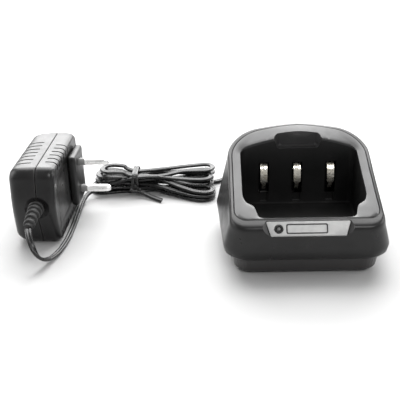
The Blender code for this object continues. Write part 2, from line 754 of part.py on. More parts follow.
def make_dc_jack():
    """Barrel inlet at the rear, with its centre pin as a separate turned piece."""
    low = (JACK_X - JACK_HALF_WIDTH, JACK_FRONT_Y, BOARD_TOP_Z + GAP)
    high = (JACK_X + JACK_HALF_WIDTH, JACK_BACK_Y, JACK_Z + 5.4)
    jack = finish("dc_jack", bevelled_box(low, high, 0.4, 1), dark_plastic())
    bore = loft(turned([(3.1, JACK_BACK_Y - 10.6), (3.1, JACK_BACK_Y + 2.0)], 24, "Y",
                       (JACK_X, 0.0, JACK_Z)))
    cut(jack, "cut_jack_bore", bore)
    pin = [(0.95, JACK_BACK_Y - 10.3), (0.95, JACK_BACK_Y - 1.6), (0.6, JACK_BACK_Y - 1.0)]
    finish("jack_centre_pin", loft(turned(pin, 16, "Y", (JACK_X, 0.0, JACK_Z))), bright_metal())


def make_led_wires():
    """Pair of thin leads from the status light down to the charge board."""
    start = slanted([(LED_X, 0.0)], -5.9)[0]
    foot = Vector((-14.0, -8.0, BOARD_TOP_Z + 0.8))
    route = [start, start + Vector((0.0, 0.1, -2.6)), Vector((LED_X, -32.4, 17.0)),
             Vector((LED_X, -27.5, 11.8)), Vector((-15.0, -17.0, 11.8)), Vector((-14.0, -11.0, 11.6)), foot]
    tube("led_wire", even_points(spline(route, 8), 2.0), 0.5, material("wire_red", (0.5, 0.02, 0.02), 0.5), 1)


# ---------------------------------------------------------------------------
# Mains adapter
# ---------------------------------------------------------------------------

def adapter_outline(inset=0.0, radius=6.0):
    """Outline of the adapter in (v, w), counter-clockwise seen from -u, crowned at the lead's end."""
    length = ADAPTER_LENGTH
    height = ADAPTER_HEIGHT
    r = max(radius - inset * 0.5, 1.2)
    low_v = inset
    high_v = length - inset
    low_w = inset
    high_w = height - inset
    points = straight((low_v + r, low_w), (high_v - r, low_w), 8)
    points += arc((high_v - r, low_w + r), r, -90, 0, 5)
    points += straight((high_v, low_w + r), (high_v, high_w - r), 5)
    points += arc((high_v - r, high_w - r), r, 0, 90, 5)
    points += straight((high_v - r, high_w), (low_v + r, high_w), 8)
    points += arc((low_v + r, high_w - r), r, 90, 180, 5)
    points += straight((low_v, high_w - r), (low_v, low_w + r), 8)
    points += arc((low_v + r, low_w + r), r, 180, 270, 5)
    crowned = []
    for v, w in points:
        share = 1.0 - abs(w - height / 2) / (height / 2)
        near = 1.0 - smooth_step(v, 0.0, 9.0)
        crowned.append((v - ADAPTER_CROWN * near * smooth_step(share, 0.0, 1.0), w))
    return crowned


def adapter_ring(u, inset, radius=6.0):
    return [(u, v, w) for v, w in adapter_outline(inset, radius)]


def make_adapter_shells(frame):
    outer_steps = [(-GAP / 2, 0.0), (-8.5, 0.35), (-12.6, 1.1), (-15.2, 2.5), (-16.7, 4.6),
                   (-ADAPTER_OUTER_DEPTH, 7.4)]
    rings = [adapter_ring(u, inset) for u, inset in reversed(outer_steps)]
    rings += [adapter_ring(-GAP / 2, WALL), adapter_ring(-11.5, WALL + 0.9),
              adapter_ring(-ADAPTER_OUTER_DEPTH + WALL, WALL + 5.0)]
    outer = finish("adapter_outer_shell", loft(rings), black_abs(), frame)
    wall_steps = [(GAP / 2, 0.0), (7.2, 0.3), (9.4, 1.0), (10.6, 2.2), (ADAPTER_WALL_DEPTH, 3.8)]
    rings = [adapter_ring(u, inset) for u, inset in reversed(wall_steps)]
    rings += [adapter_ring(GAP / 2, WALL), adapter_ring(ADAPTER_WALL_DEPTH - WALL - 1.0, WALL + 0.5),
              adapter_ring(ADAPTER_WALL_DEPTH - WALL, WALL + 2.0)]
    wall = finish("adapter_wall_shell", loft(rings), black_abs(), frame)
    cut(outer, "cut_outer_vents", vent_cutter(-13.9, -4.4, 7, 11.2), parent=frame)
    cut(wall, "cut_wall_vents", vent_cutter(3.6, ADAPTER_WALL_DEPTH + 2.0, 6, 12.6, 5.6), parent=frame)
    cut(outer, "cut_outer_lead_hole", lead_hole(), parent=frame)
    cut(wall, "cut_wall_lead_hole", lead_hole(), parent=frame)
    cut(wall, "cut_pin_holes", pin_holes(PIN_RADIUS + GAP, 4.0, ADAPTER_WALL_DEPTH + 3.0), parent=frame)


def vent_cutter(low_u, high_u, count, first_v, reach=WALL + 1.0):
    """Rows of cooling slots through the top and bottom walls, straight across the adapter."""
    bm = bmesh.new()
    for k in range(count):
        v = first_v + VENT_PITCH * k
        low = (low_u, v - VENT_WIDTH / 2)
        high = (high_u, v + VENT_WIDTH / 2)
        add_box(bm, (*low, -2.0), (*high, reach))
        add_box(bm, (*low, ADAPTER_HEIGHT - reach), (*high, ADAPTER_HEIGHT + 2.0))
    return bm


def lead_hole():
    return loft(turned([(4.4, -ADAPTER_CROWN - 4.0), (4.4, 5.0)], 20, "Y", (0.0, 0.0, LEAD_EXIT_W)))


def pin_holes(radius, low_u, high_u):
    bm = bmesh.new()
    for side in (-1, 1):
        centre = (0.0, PLUG_CENTRE_V, PLUG_CENTRE_W + side * PIN_SPACING / 2)
        merge(bm, loft(turned([(radius, low_u), (radius, high_u)], 20, "X", centre)))
    return bm


def make_plug(frame):
    """Plug block on the wall face, with its two round pins one above the other."""
    low_u = ADAPTER_WALL_DEPTH + GAP
    high_u = ADAPTER_WALL_DEPTH + PLUG_BLOCK_DEPTH
    low = (low_u, PLUG_CENTRE_V - PLUG_HALF_LENGTH, PLUG_CENTRE_W - PLUG_HALF_HEIGHT)
    high = (high_u, PLUG_CENTRE_V + PLUG_HALF_LENGTH, PLUG_CENTRE_W + PLUG_HALF_HEIGHT)
    block = finish("plug_block", bevelled_box(low, high, 0.9, 2), black_abs(), frame)
    cut(block, "cut_block_holes", pin_holes(PIN_RADIUS + GAP, low_u - 2.0, high_u + 2.0), parent=frame)
    inner = 5.6
    tip = high_u + PIN_LENGTH
    profile = [(PIN_RADIUS, inner), (PIN_RADIUS, tip - 1.8), (PIN_RADIUS * 0.86, tip - 0.9),
               (PIN_RADIUS * 0.5, tip - 0.15), (0.4, tip)]
    for index, side in enumerate((-1, 1), 1):
        w = PLUG_CENTRE_W + side * PIN_SPACING / 2
        finish(f"mains_pin_{index}", loft(turned(profile, 20, "X", (0.0, PLUG_CENTRE_V, w))),
               bright_metal(), frame)
        bm = ribbon([(-0.4, -3.4), (2.6, -3.4), (4.2, -2.2), (5.0, 0.0), (5.0, 2.0)], 0.5, 4.0)
        turn = Matrix.Translation((0.0, PLUG_CENTRE_V, w)) @ Matrix.Rotation(-math.pi / 2, 4, "Z")
        bmesh.ops.transform(bm, matrix=turn, verts=bm.verts)
        finish(f"pin_contact_{index}", bm, material("brass_strip", (0.7, 0.5, 0.2), 0.3, 1.0), frame)


def make_adapter_inside(frame):
    """Power board between the shells, and the parts soldered to it."""
    face = -0.8
    back = face - 1.6
    finish("adapter_board", box((back, 5.0, 4.6), (face, 60.0, 44.4)), circuit_board(), frame)
    near = back - GAP
    core = bevelled_box((near - 9.6, 26.0, 17.0), (near, 42.0, 36.0), 0.8, 1)
    finish("transformer", core, material("transformer_tape", (0.75, 0.55, 0.08), 0.5), frame)
    can = [(4.6, -7.5), (5.0, -7.1), (5.0, 7.1), (4.6, 7.5)]
    finish("mains_capacitor", loft(turned(can, 20, "Z", (near - 5.0, 51.0, 27.0))),
           material("capacitor_sleeve", (0.02, 0.03, 0.12), 0.35), frame)
    can = [(3.7, -6.0), (4.0, -5.7), (4.0, 5.7), (3.7, 6.0)]
    finish("output_capacitor", loft(turned(can, 20, "Z", (near - 4.0, 15.5, 35.0))),
           material("capacitor_sleeve", (0.02, 0.03, 0.12), 0.35), frame)
    bridge = bevelled_box((near - 2.6, 44.0, 11.5), (near, 50.0, 17.0), 0.3, 1)
    finish("bridge_rectifier", bridge, material("chip_epoxy", (0.02, 0.02, 0.022), 0.6), frame)
    switch = bevelled_box((near - 2.2, 17.0, 13.0), (near, 23.0, 22.0), 0.3, 1)
    finish("switching_chip", switch, material("chip_epoxy", (0.02, 0.02, 0.022), 0.6), frame)


def make_strain_relief(frame):
    """Ribbed, tapered boot out of the crowned end, drooping a little, with its collar inside."""
    root = Vector((0.0, -ADAPTER_CROWN, LEAD_EXIT_W))
    tip = Vector((-1.4, -19.4, 22.4))
    radii = [(-7.5, 5.6), (-5.6, 5.6), (-5.6, 4.0), (0.2, 4.0)]
    ribs = 5
    length = (tip - root).length
    for k in range(ribs):
        t = k / ribs
        span = length / ribs
        radius = 4.6 - 1.6 * t
        start = 0.5 + t * (length - 0.5)
        radii += [(start, radius), (start + span * 0.52, radius - 0.1), (start + span * 0.56, radius - 0.9),
                  (start + span * 0.9, radius - 1.1)]
    radii.append((length, 2.4))
    rings = []
    for distance, radius in radii:
        t = max(0.0, distance / length)
        bend = t * t
        if distance <= 0.2:
            centre = root + Vector((0.0, -distance, 0.0))
        else:
            centre = Vector((tip.x * bend, root.y - distance, LEAD_EXIT_W + (tip.z - LEAD_EXIT_W) * bend))
        rings.append([centre + Vector((radius * math.cos(a), 0.0, radius * math.sin(a)))
                      for a in (2 * math.pi * k / 18 for k in range(18))])
    finish("strain_relief", loft(rings), black_rubber(), frame)


# ---------------------------------------------------------------------------
# Lead
# ---------------------------------------------------------------------------

def make_dc_plug():
    """Straight barrel plug in the rear inlet: metal barrel and moulded grip."""
    start = BODY_BACK + 0.6
    barrel = [(2.75, JACK_BACK_Y - 9.6), (2.75, start + 1.0), (1.35, start + 1.0), (1.35, JACK_BACK_Y - 9.6)]
    finish("dc_plug_barrel", loft(turned(barrel, 24, "Y", (JACK_X, 0.0, JACK_Z)), close_loop=True),
           bright_metal())
    grip = [(4.4, 0.0), (4.9, 0.4), (4.9, 8.0), (4.2, 9.2),
            (3.7, 13.0), (3.3, 16.5), (2.9, 19.0), (2.4, 21.0)]
    profile = [(radius, start + along) for radius, along in grip]
    body = finish("dc_plug_body", loft(turned(profile, 24, "Y", (JACK_X, 0.0, JACK_Z))), black_rubber())
    bore = loft(turned([(3.05, start - 1.0), (3.05, start + 1.3)], 24, "Y", (JACK_X, 0.0, JACK_Z)))
    cut(body, "cut_plug_bore", bore)


def make_cords():
    mat = black_flex()
    tube("cord_run_adapter", even_points(spline(ADAPTER_RUN, 10), 4.0), CORD_RADIUS, mat)
    tube("cord_run_cradle", even_points(spline(CRADLE_RUN, 10), 4.0), CORD_RADIUS, mat)
    outline = [(p.x, p.y) for p in closed_spline([(x, y, 0.0) for x, y in HANK_OUTLINE], 3)]
    rings = [at_height(offset(outline, -2.2), HANK_LOW_Z), at_height(outline, HANK_LOW_Z + 2.6),
             at_height(outline, HANK_HIGH_Z - 2.6), at_height(offset(outline, -2.6), HANK_HIGH_Z)]
    finish("cord_hank", loft(rings), mat)


def make_twist_tie():
    """Wire tie over the hank, twisted together at the front, with two short tails."""
    radius = 0.8
    over = [(TIE_X, 87.9, 1.2), (TIE_X, 88.1, 7.0), (TIE_X, 86.7, 12.4), (TIE_X, 82.3, 14.2),
            (TIE_X, 74.3, 14.2), (TIE_X + 0.6, 69.9, 12.4), (TIE_X + 1.4, 68.2, 8.0),
            (TIE_X + 3.2, 65.9, 5.0),
            (TIE_X + 8.0, 62.7, 2.6), (TIE_X + 14.0, 58.9, 1.2), (TIE_X + 19.0, 55.5, 1.0)]
    mat = material("tie_plastic", (0.02, 0.02, 0.02), 0.4)
    tube("twist_tie", even_points(spline(over, 8), 2.4), radius, mat)


def main():
    clear_scene()
    make_base_plate()
    make_feet()
    make_base_screws()
    make_upper_housing()
    make_pocket_insert()
    make_trim()
    make_contacts()
    make_contact_block()
    make_contact_wires()
    make_charge_board()
    make_dc_jack()
    make_led_wires()
    adapter = empty("adapter_frame", ADAPTER_ORIGIN, (0.0, 0.0, ADAPTER_YAW))
    make_adapter_shells(adapter)
    make_plug(adapter)
    make_adapter_inside(adapter)
    make_strain_relief(adapter)
    make_dc_plug()
    make_cords()
    make_twist_tie()


main()
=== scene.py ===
"""Visual model of the charging cradle, its mains adapter and their lead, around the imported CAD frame.

Shapes are written in millimetres in the row frame and turned into metres by MM. Nothing is random: what
wavers is a fixed sine.
"""
import math

import bmesh
import bpy
from mathutils import Matrix, Vector


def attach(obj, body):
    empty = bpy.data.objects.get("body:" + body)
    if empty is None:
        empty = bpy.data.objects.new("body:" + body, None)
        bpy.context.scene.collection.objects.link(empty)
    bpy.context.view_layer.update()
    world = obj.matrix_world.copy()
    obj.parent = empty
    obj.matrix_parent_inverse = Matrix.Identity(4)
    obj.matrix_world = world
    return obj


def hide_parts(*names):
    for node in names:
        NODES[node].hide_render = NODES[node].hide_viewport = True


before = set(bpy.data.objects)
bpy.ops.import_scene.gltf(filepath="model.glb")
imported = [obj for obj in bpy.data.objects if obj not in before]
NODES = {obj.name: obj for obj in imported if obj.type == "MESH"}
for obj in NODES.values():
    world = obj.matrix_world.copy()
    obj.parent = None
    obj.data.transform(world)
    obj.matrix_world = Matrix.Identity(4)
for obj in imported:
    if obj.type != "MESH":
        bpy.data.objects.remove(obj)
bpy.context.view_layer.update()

MM = 0.001
SCENE = bpy.context.scene


# ---------------------------------------------------------------------------
# Camera
# ---------------------------------------------------------------------------

CAMERA_AT = (-0.047822, -0.378397, 0.215342)
CAMERA_PITCH = math.radians(26.218)
CAMERA_YAW = math.radians(-1.602)
CAMERA_ROLL = math.radians(-1.725)
CAMERA_LENS = 65.29


def add_camera():
    cos_pitch = math.cos(CAMERA_PITCH)
    forward = Vector((math.sin(CAMERA_YAW) * cos_pitch, math.cos(CAMERA_YAW) * cos_pitch,
                      -math.sin(CAMERA_PITCH)))
    level = Vector((math.cos(CAMERA_YAW), -math.sin(CAMERA_YAW), 0.0))
    rise = level.cross(forward)
    right = level * math.cos(CAMERA_ROLL) + rise * math.sin(CAMERA_ROLL)
    up = rise * math.cos(CAMERA_ROLL) - level * math.sin(CAMERA_ROLL)
    camera = bpy.data.objects.new("camera", bpy.data.cameras.new("camera"))
    SCENE.collection.objects.link(camera)
    turn = Matrix((right, up, -forward)).transposed().to_4x4()
    camera.matrix_world = Matrix.Translation(CAMERA_AT) @ turn
    camera.data.lens = CAMERA_LENS
    camera.data.clip_start = 0.01
    SCENE.camera = camera


add_camera()


# ---------------------------------------------------------------------------
# Procedural materials
# ---------------------------------------------------------------------------

# Depths of the surface textures, in metres
GRAIN_DEPTH = 0.00006
WAVE_DEPTH = 0.0006
LINE_DEPTH = 0.00004
DENT_DEPTH = 0.0005


class Look:
    """A Principled material built up node by node."""

    def __init__(self, name, roughness, metallic=0.0, specular=0.5):
        self.material = bpy.data.materials.new(name)
        self.material.use_nodes = True
        self.tree = self.material.node_tree
        self.shader = self.tree.nodes["Principled BSDF"]
        self.shader.inputs["Roughness"].default_value = roughness
        self.shader.inputs["Metallic"].default_value = metallic
        self.shader.inputs["Specular IOR Level"].default_value = specular
        self.place = self.tree.nodes.new("ShaderNodeTexCoord").outputs["Object"]
        self.bump = None

    def link(self, output, socket):
        self.tree.links.new(output, socket)

    def stretched(self, scale):
        mapping = self.tree.nodes.new("ShaderNodeMapping")
        mapping.inputs["Scale"].default_value = scale
        self.link(self.place, mapping.inputs["Vector"])
        return mapping.outputs["Vector"]

    def noise(self, scale, detail=3.0, stretch=None):
        node = self.tree.nodes.new("ShaderNodeTexNoise")
        node.inputs["Scale"].default_value = scale
        node.inputs["Detail"].default_value = detail
        self.link(self.stretched(stretch) if stretch else self.place, node.inputs["Vector"])
        return node.outputs["Fac"]

    def ranged(self, output, low, high, to_low, to_high):
        node = self.tree.nodes.new("ShaderNodeMapRange")
        ends = {"From Min": low, "From Max": high, "To Min": to_low, "To Max": to_high}
        for name, value in ends.items():
            node.inputs[name].default_value = value
        self.link(output, node.inputs["Value"])
        return node.outputs["Result"]

    def mixed(self, factor, first, second):
        """Mix of two colours, each a triple or an output."""
        node = self.tree.nodes.new("ShaderNodeMix")
        node.data_type = "RGBA"
        self.link(factor, node.inputs[0])
        for socket, value in ((node.inputs[6], first), (node.inputs[7], second)):
            if isinstance(value, tuple):
                socket.default_value = (*value, 1.0)
            else:
                self.link(value, socket)
        return node.outputs[2]

    def edges(self, start, full):
        """How much of a convex edge a place is, for wear."""
        geometry = self.tree.nodes.new("ShaderNodeNewGeometry")
        return self.ranged(geometry.outputs["Pointiness"], start, full, 0.0, 1.0)

    def colour(self, output):
        self.link(output, self.shader.inputs["Base Color"])

    def rough(self, output):
        self.link(output, self.shader.inputs["Roughness"])

    def relief(self, output, strength, distance):
        """Add a bump on top of the ones already there."""
        node = self.tree.nodes.new("ShaderNodeBump")
        node.inputs["Strength"].default_value = strength
        node.inputs["Distance"].default_value = distance
        self.link(output, node.inputs["Height"])
        if self.bump:
            self.link(self.bump, node.inputs["Normal"])
        self.bump = node.outputs["Normal"]
        self.link(self.bump, self.shader.inputs["Normal"])


def moulded(name, dark, light, wear, roughness, grain, specular=0.5, waves=0.12, worn=True):
    """Moulded plastic or rubber: cloudy colour, rubbed edges, fine sand texture and faint dust."""
    look = Look(name, roughness, specular=specular)
    body = look.mixed(look.ranged(look.noise(55.0, 4.0), 0.35, 0.65, 0.0, 1.0), dark, light)
    rubbed = look.mixed(look.edges(0.53, 0.62), body, wear) if worn else body
    dust = look.ranged(look.noise(2600.0, 2.0), 0.72, 0.80, 0.0, 0.45)
    look.colour(look.mixed(dust, rubbed, wear))
    look.rough(look.ranged(look.noise(160.0, 5.0), 0.3, 0.7, roughness - 0.05, roughness + 0.07))
    look.relief(look.noise(1500.0, 2.0), grain, GRAIN_DEPTH)
    look.relief(look.noise(70.0, 2.0), waves, WAVE_DEPTH)
    return look


def metal(name, dark, light, roughness, stretch, metallic):
    """Plated or painted metal with drawn lines, small stains and rubbed edges."""
    look = Look(name, roughness, metallic)
    lines = look.noise(900.0, 3.0, stretch)
    stain = look.ranged(look.noise(240.0, 4.0), 0.45, 0.75, 0.0, 1.0)
    body = look.mixed(stain, light, dark)
    look.colour(look.mixed(look.edges(0.52, 0.62), body, light))
    look.rough(look.ranged(lines, 0.3, 0.7, roughness - 0.07, roughness + 0.12))
    look.relief(lines, 0.12, LINE_DEPTH)
    return look


def grey(value):
    return (value, value, value)


def plastic_looks():
    return {
        "abs": moulded("abs_satin", (0.007, 0.0068, 0.007), (0.012, 0.0117, 0.0118),
                       (0.05, 0.048, 0.048), roughness=0.32, grain=0.18, specular=0.38),
        # The bezel is the same ABS as the housing painted a little lighter: painted light on the rim's top
        # band.
        "bezel": moulded("abs_bezel_painted_light", (0.011, 0.011, 0.0115), (0.018, 0.0177, 0.018),
                         (0.08, 0.078, 0.078), roughness=0.36, grain=0.22),
        # The pocket's ABS is painted darker than the bezel: painted shade inside the pocket, with a rougher
        # finish. The small dark parts take it too.
        "inner": moulded("abs_inner_painted_shade", grey(0.005), (0.009, 0.0088, 0.0088), (0.03, 0.029, 0.029),
                         roughness=0.4, grain=0.25, specular=0.3, worn=False),
        "block": moulded("abs_block", grey(0.007), grey(0.012), grey(0.05),
                         roughness=0.38, grain=0.2, specular=0.4),
        # Darker grey for the pins' roots: painted shade next to the dark plug block on the bare nickel.
        "collar": moulded("collar_grey", grey(0.16), (0.24, 0.24, 0.235), grey(0.4),
                          roughness=0.4, grain=0.2),
        "lens": moulded("lens_smoke", grey(0.05), (0.09, 0.09, 0.085), grey(0.3),
                        roughness=0.14, grain=0.03),
        "board": moulded("solder_mask", (0.012, 0.07, 0.025), (0.02, 0.11, 0.045), (0.1, 0.2, 0.1),
                         roughness=0.4, grain=0.2),
    }


def soft_looks():
    return {
        "boot": moulded("boot_rubber", grey(0.009), (0.016, 0.0155, 0.0155), grey(0.05),
                        roughness=0.42, grain=0.3, specular=0.45),
        "flex": moulded("flex_pvc", (0.006, 0.006, 0.0065), grey(0.011), grey(0.03),
                        roughness=0.27, grain=0.02, specular=0.42, waves=0.01),
        "tie": moulded("tie_pvc", (0.007, 0.007, 0.0075), grey(0.013), grey(0.05),
                       roughness=0.34, grain=0.15),
    }


def metal_looks():
    leaf = metal("leaf_nickel", (0.62, 0.54, 0.38), (0.96, 0.92, 0.82), 0.24, (1.0, 1.0, 5.0), 0.95)
    leaf.relief(leaf.noise(420.0, 1.0), 0.55, DENT_DEPTH)
    return {
        "leaf": leaf,
        "pin": metal("pin_nickel", (0.90, 0.89, 0.875), (0.97, 0.965, 0.955), 0.30, (0.12, 1.0, 1.0), 0.8),
        "trim": metal("trim_silver", grey(0.34), (0.40, 0.40, 0.395), 0.42, (0.3, 6.0, 6.0), 0.3),
    }


def make_looks():
    looks = {**plastic_looks(), **soft_looks(), **metal_looks()}
    return {name: look.material for name, look in looks.items()}


LOOKS = make_looks()


# ---------------------------------------------------------------------------
# Mesh helpers
# ---------------------------------------------------------------------------

def solid(name, bm, look, body, replaced=(), sharp=34.0):
    """Turn a bmesh in millimetres into a piece that rides on a body and stands for CAD nodes."""
    bmesh.ops.recalc_face_normals(bm, faces=bm.faces)
    bmesh.ops.scale(bm, vec=(MM, MM, MM), verts=bm.verts)
    mesh = bpy.data.meshes.new(name)
    bm.to_mesh(mesh)
    bm.free()
    mesh.shade_smooth()
    mesh.set_sharp_from_angle(angle=math.radians(sharp))
    mesh.materials.append(LOOKS[look])
    item = bpy.data.objects.new(name, mesh)
    SCENE.collection.objects.link(item)
    if body:
        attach(item, body)
        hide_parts(*replaced)
    return item


def apply_modifiers(item, sharp=34.0):
    """Replace the mesh by what its modifiers make of it, and drop the modifiers."""
    ready = bpy.context.evaluated_depsgraph_get()
    mesh = bpy.data.meshes.new_from_object(item.evaluated_get(ready))
    item.modifiers.clear()
    item.data = mesh
    mesh.shade_smooth()
    mesh.set_sharp_from_angle(angle=math.radians(sharp))


def cut(item, cutters):
    """Cut each (bmesh, operation) into a piece in order."""
    made = []
    for index, (bm, operation) in enumerate(cutters):
        cutter = solid(f"{item.name}_cutter_{index}", bm, "abs", None)
        made.append(cutter)
        modifier = item.modifiers.new("cut", "BOOLEAN")
        modifier.operation = operation
        modifier.solver = "EXACT"
        modifier.object = cutter
    bpy.context.view_layer.update()
    apply_modifiers(item)
    for cutter in made:
        bpy.data.objects.remove(cutter, do_unlink=True)


def loft(rings, close_loop=False, bm=None):
    """Skin a list of rings of equal length; the ends are capped, or joined into a loop."""
    bm = bm or bmesh.new()
    rows = [[bm.verts.new(point) for point in ring] for ring in rings]
    count = len(rows[0])
    pairs = list(zip(rows, rows[1:]))
    if close_loop:
        pairs.append((rows[-1], rows[0]))
    for low, high in pairs:
        for i in range(count):
            j = (i + 1) % count
            bm.faces.new((low[i], low[j], high[j], high[i]))
    if not close_loop:
        bm.faces.new(list(reversed(rows[0])))
        bm.faces.new(rows[-1])
    return bm


def add_box(bm, low, high):
    centre = (Vector(low) + Vector(high)) / 2
    size = Vector(high) - Vector(low)
    bmesh.ops.create_cube(bm, size=1.0, matrix=Matrix.Translation(centre) @ Matrix.Diagonal((*size, 1.0)))
    return bm


def rounded_box(low, high, width, segments=3):
    bm = add_box(bmesh.new(), low, high)
    bmesh.ops.bevel(bm, geom=bm.edges[:], offset=width, segments=segments, profile=0.5, affect="EDGES")
    return bm


def turned(profile, steps=48, axis="Z", centre=(0.0, 0.0, 0.0)):
    """Rings of a turned solid; profile is (radius, height) from one end to the other, never at 0."""
    rings = []
    for radius, height in profile:
        ring = []
        for k in range(steps):
            a = 2 * math.pi * k / steps
            flat = (radius * math.cos(a), radius * math.sin(a))
            point = {"Z": (flat[0], flat[1], height), "Y": (flat[0], height, flat[1]),
                     "X": (height, flat[0], flat[1])}[axis]
            ring.append(Vector(point) + Vector(centre))
        rings.append(ring)
    return rings


def arc(centre, radius, start, end, count, with_last=False):
    """Points on an arc in degrees; its last point is left to what follows, unless it is asked for."""
    angles = [math.radians(start + (end - start) * k / count) for k in range(count + with_last)]
    return [(centre[0] + radius * math.cos(a), centre[1] + radius * math.sin(a)) for a in angles]


def straight(start, end, count):
    """Points on a line, without its last point."""
    return [(start[0] + (end[0] - start[0]) * k / count,
             start[1] + (end[1] - start[1]) * k / count) for k in range(count)]


def offset(points, distance):
    """Move a counter-clockwise outline outwards along its vertex normals."""
    moved = []
    count = len(points)
    for i, here in enumerate(points):
        first = (Vector(here) - Vector(points[i - 1])).normalized()
        second = (Vector(points[(i + 1) % count]) - Vector(here)).normalized()
        normal = Vector((first.y + second.y, -first.x - second.x)).normalized()
        stretch = max(0.6, normal.dot(Vector((first.y, -first.x))))
        moved.append(tuple(Vector(here) + normal * distance / stretch))
    return moved


def smooth_step(value, low, high):
    t = min(max((value - low) / (high - low), 0.0), 1.0)
    return t * t * (3 - 2 * t)


def catmull(a, b, c, d, t):
    return 0.5 * (2 * b + (c - a) * t + (2 * a - 5 * b + 4 * c - d) * t ** 2
                  + (3 * b - a - 3 * c + d) * t ** 3)


def spline(points, per_span):
    """Catmull-Rom points through an open list of points."""
    route = [Vector(p) for p in points]
    ends = [2 * route[0] - route[1]] + route + [2 * route[-1] - route[-2]]
    result = [catmull(*ends[i - 1:i + 3], k / per_span)
              for i in range(1, len(ends) - 2) for k in range(per_span)]
    return result + [route[-1]]


def even_points(points, step):
    """Walk a dense polyline and keep points at an even step, both ends included."""
    lengths = [0.0]
    for a, b in zip(points, points[1:]):
        lengths.append(lengths[-1] + (b - a).length)
    count = max(2, round(lengths[-1] / step))
    result = []
    k = 0
    for i in range(count + 1):
        target = lengths[-1] * i / count
        while k < len(points) - 2 and lengths[k + 1] < target:
            k += 1
        share = (target - lengths[k]) / (lengths[k + 1] - lengths[k])
        result.append(points[k].lerp(points[k + 1], share))
    return result


def softened(rings, per_span):
    """Smooth rings between key rings, point by point."""
    columns = [spline([ring[i] for ring in rings], per_span) for i in range(len(rings[0]))]
    return [[column[k] for column in columns] for k in range(len(columns[0]))]


def heading(line, i):
    """Direction of an open line at one of its points."""
    return (line[min(i + 1, len(line) - 1)] - line[max(i - 1, 0)]).normalized()


def swept(line, section, sides, bm=None):
    """Sweep a section of (across, up) points along a line; sides holds each point's across direction."""
    rings = []
    for i, here in enumerate(line):
        along = heading(line, i)
        side = (sides[i] - along * sides[i].dot(along)).normalized()
        up = side.cross(along)
        rings.append([here + side * a + up * b for a, b in section])
    return loft(rings, bm=bm)


# ---------------------------------------------------------------------------
# Lead: twin flex from the plug at the cradle's rear through the hank to the adapter
# ---------------------------------------------------------------------------

CORD_WIDTH = 3.7                # across both cores
CORD_LOBE = 0.98                # radius of one core's sleeve
CORD_HALF_ARC = 142             # half of what is seen of each sleeve, in degrees
CORD_STEP = 1.4                 # between sections along the lead
LOWEST_Z = 1.2                  # centreline of the hank's lowest layer
TIE_PITCH = 1.36                # between layers where the tie squeezes them
FOLD_PITCH = 1.9                # between layers at the tied end's folds
CRADLE_RUN = [(-18.0, 62.2, 16.4), (-18.0, 62.6, 16.4), (-18.2, 68.0, 14.8), (-18.8, 76.0, 8.6),
              (-21.6, 84.6, 3.4), (-28.4, 90.8, 1.6), (-36.4, 91.6, 1.3), (-43.4, 88.6, 1.3),
              (-49.0, 85.4, 1.3)]
ADAPTER_RUN = [(-155.5, -19.5, 21.8), (-154.6, -23.2, 20.2), (-152.6, -27.6, 16.6), (-150.4, -29.4, 12.1),
               (-148.5, -28.3, 8.2), (-146.7, -24.6, 5.0), (-144.5, -18.2, 2.6), (-142.0, -9.2, 1.6),
               (-140.2, 2.3, 1.3), (-139.3, 14.8, 1.3), (-139.0, 28.1, 1.3), (-139.0, 43.4, 1.3),
               (-138.4, 55.0, 2.4)]
CRADLE_RUN_END = (84.6, 1.3)    # y and z where the stretch from the cradle meets the first run
BUNDLE_CENTRE_Y = 78.8
COLUMN_STEP = 4.2
COLUMNS = (-1.5, -0.5, 0.5, 1.5)
# Middle of each right-hand fold: y, z and half its width
FAN = [(62.0, 1.2, 5.7), (75.0, 1.2, 5.6), (87.8, 3.3, 5.6), (62.8, 3.3, 5.6), (75.8, 5.3, 5.6),
       (87.4, 7.4, 5.6), (64.2, 5.4, 5.5), (76.2, 9.4, 5.5), (86.4, 11.5, 5.5)]
PAIRS = len(FAN)
# x, and how far a run has moved there from its place in the fan to its place in the tie
FAN_STATIONS = [(-57.4, 0.0), (-60.4, 0.02), (-66.0, 0.13), (-76.0, 0.40), (-88.0, 0.75), (-96.0, 0.93),
                (-104.4, 1.0)]
# x, how far the runs spread from their places in the tie, and how far they have risen to their folds
TIED_STATIONS = [(-120.0, 1.22, 0.85), (-125.4, 1.35, 1.0), (-128.4, 1.36, 1.0)]
# The run that comes over the top at the front and drops behind the plug to the adapter's side
LAST_RUN = [(-86.0, 73.0, 11.8), (-96.0, 71.0, 12.4), (-104.4, 70.2, 12.0), (-113.0, 69.4, 10.6),
            (-122.0, 68.4, 8.8), (-130.0, 66.6, 6.4), (-135.8, 62.4, 4.2)]


def left_slot(run):
    """y and layer of a run where it passes the tie; two runs to a layer, shifted from layer to layer."""
    layer = run // 2
    column = COLUMNS[(run % 2) * 2 + layer % 2]
    wobble = 0.5 * math.sin(2.3 * run + 0.7)
    return BUNDLE_CENTRE_Y + column * COLUMN_STEP + wobble, layer


def right_slot(run):
    """y, z of a run at the fan end."""
    if run == 0:
        return CRADLE_RUN_END
    middle, z, half = FAN[(run - 1) // 2]
    return (middle + half if run % 2 == 1 else middle - half), z


def run_points(run):
    """Points of a run from the fan end to the tied end."""
    right_y, right_z = right_slot(run)
    left_y, layer = left_slot(run)
    tie_z = LOWEST_Z + TIE_PITCH * layer
    fold_z = LOWEST_Z + FOLD_PITCH * layer
    end = 0.9 * layer + 1.2 * math.sin(run // 2 * 1.9)
    points = []
    for x, share in FAN_STATIONS:
        y = right_y + (left_y - right_y) * share
        z = right_z + (tie_z - right_z) * smooth_step(share, 0.0, 1.0)
        points.append((x + 1.2 * math.sin(run * 1.9) * (1.0 - share), y, z))
    aside = left_y - BUNDLE_CENTRE_Y
    points.append((-114.0 + 0.4 * end, BUNDLE_CENTRE_Y + aside * 1.05, tie_z + (fold_z - tie_z) * 0.5))
    for x, spread, lift in TIED_STATIONS:
        points.append((x + end, BUNDLE_CENTRE_Y + aside * spread, tie_z + (fold_z - tie_z) * lift))
    return points


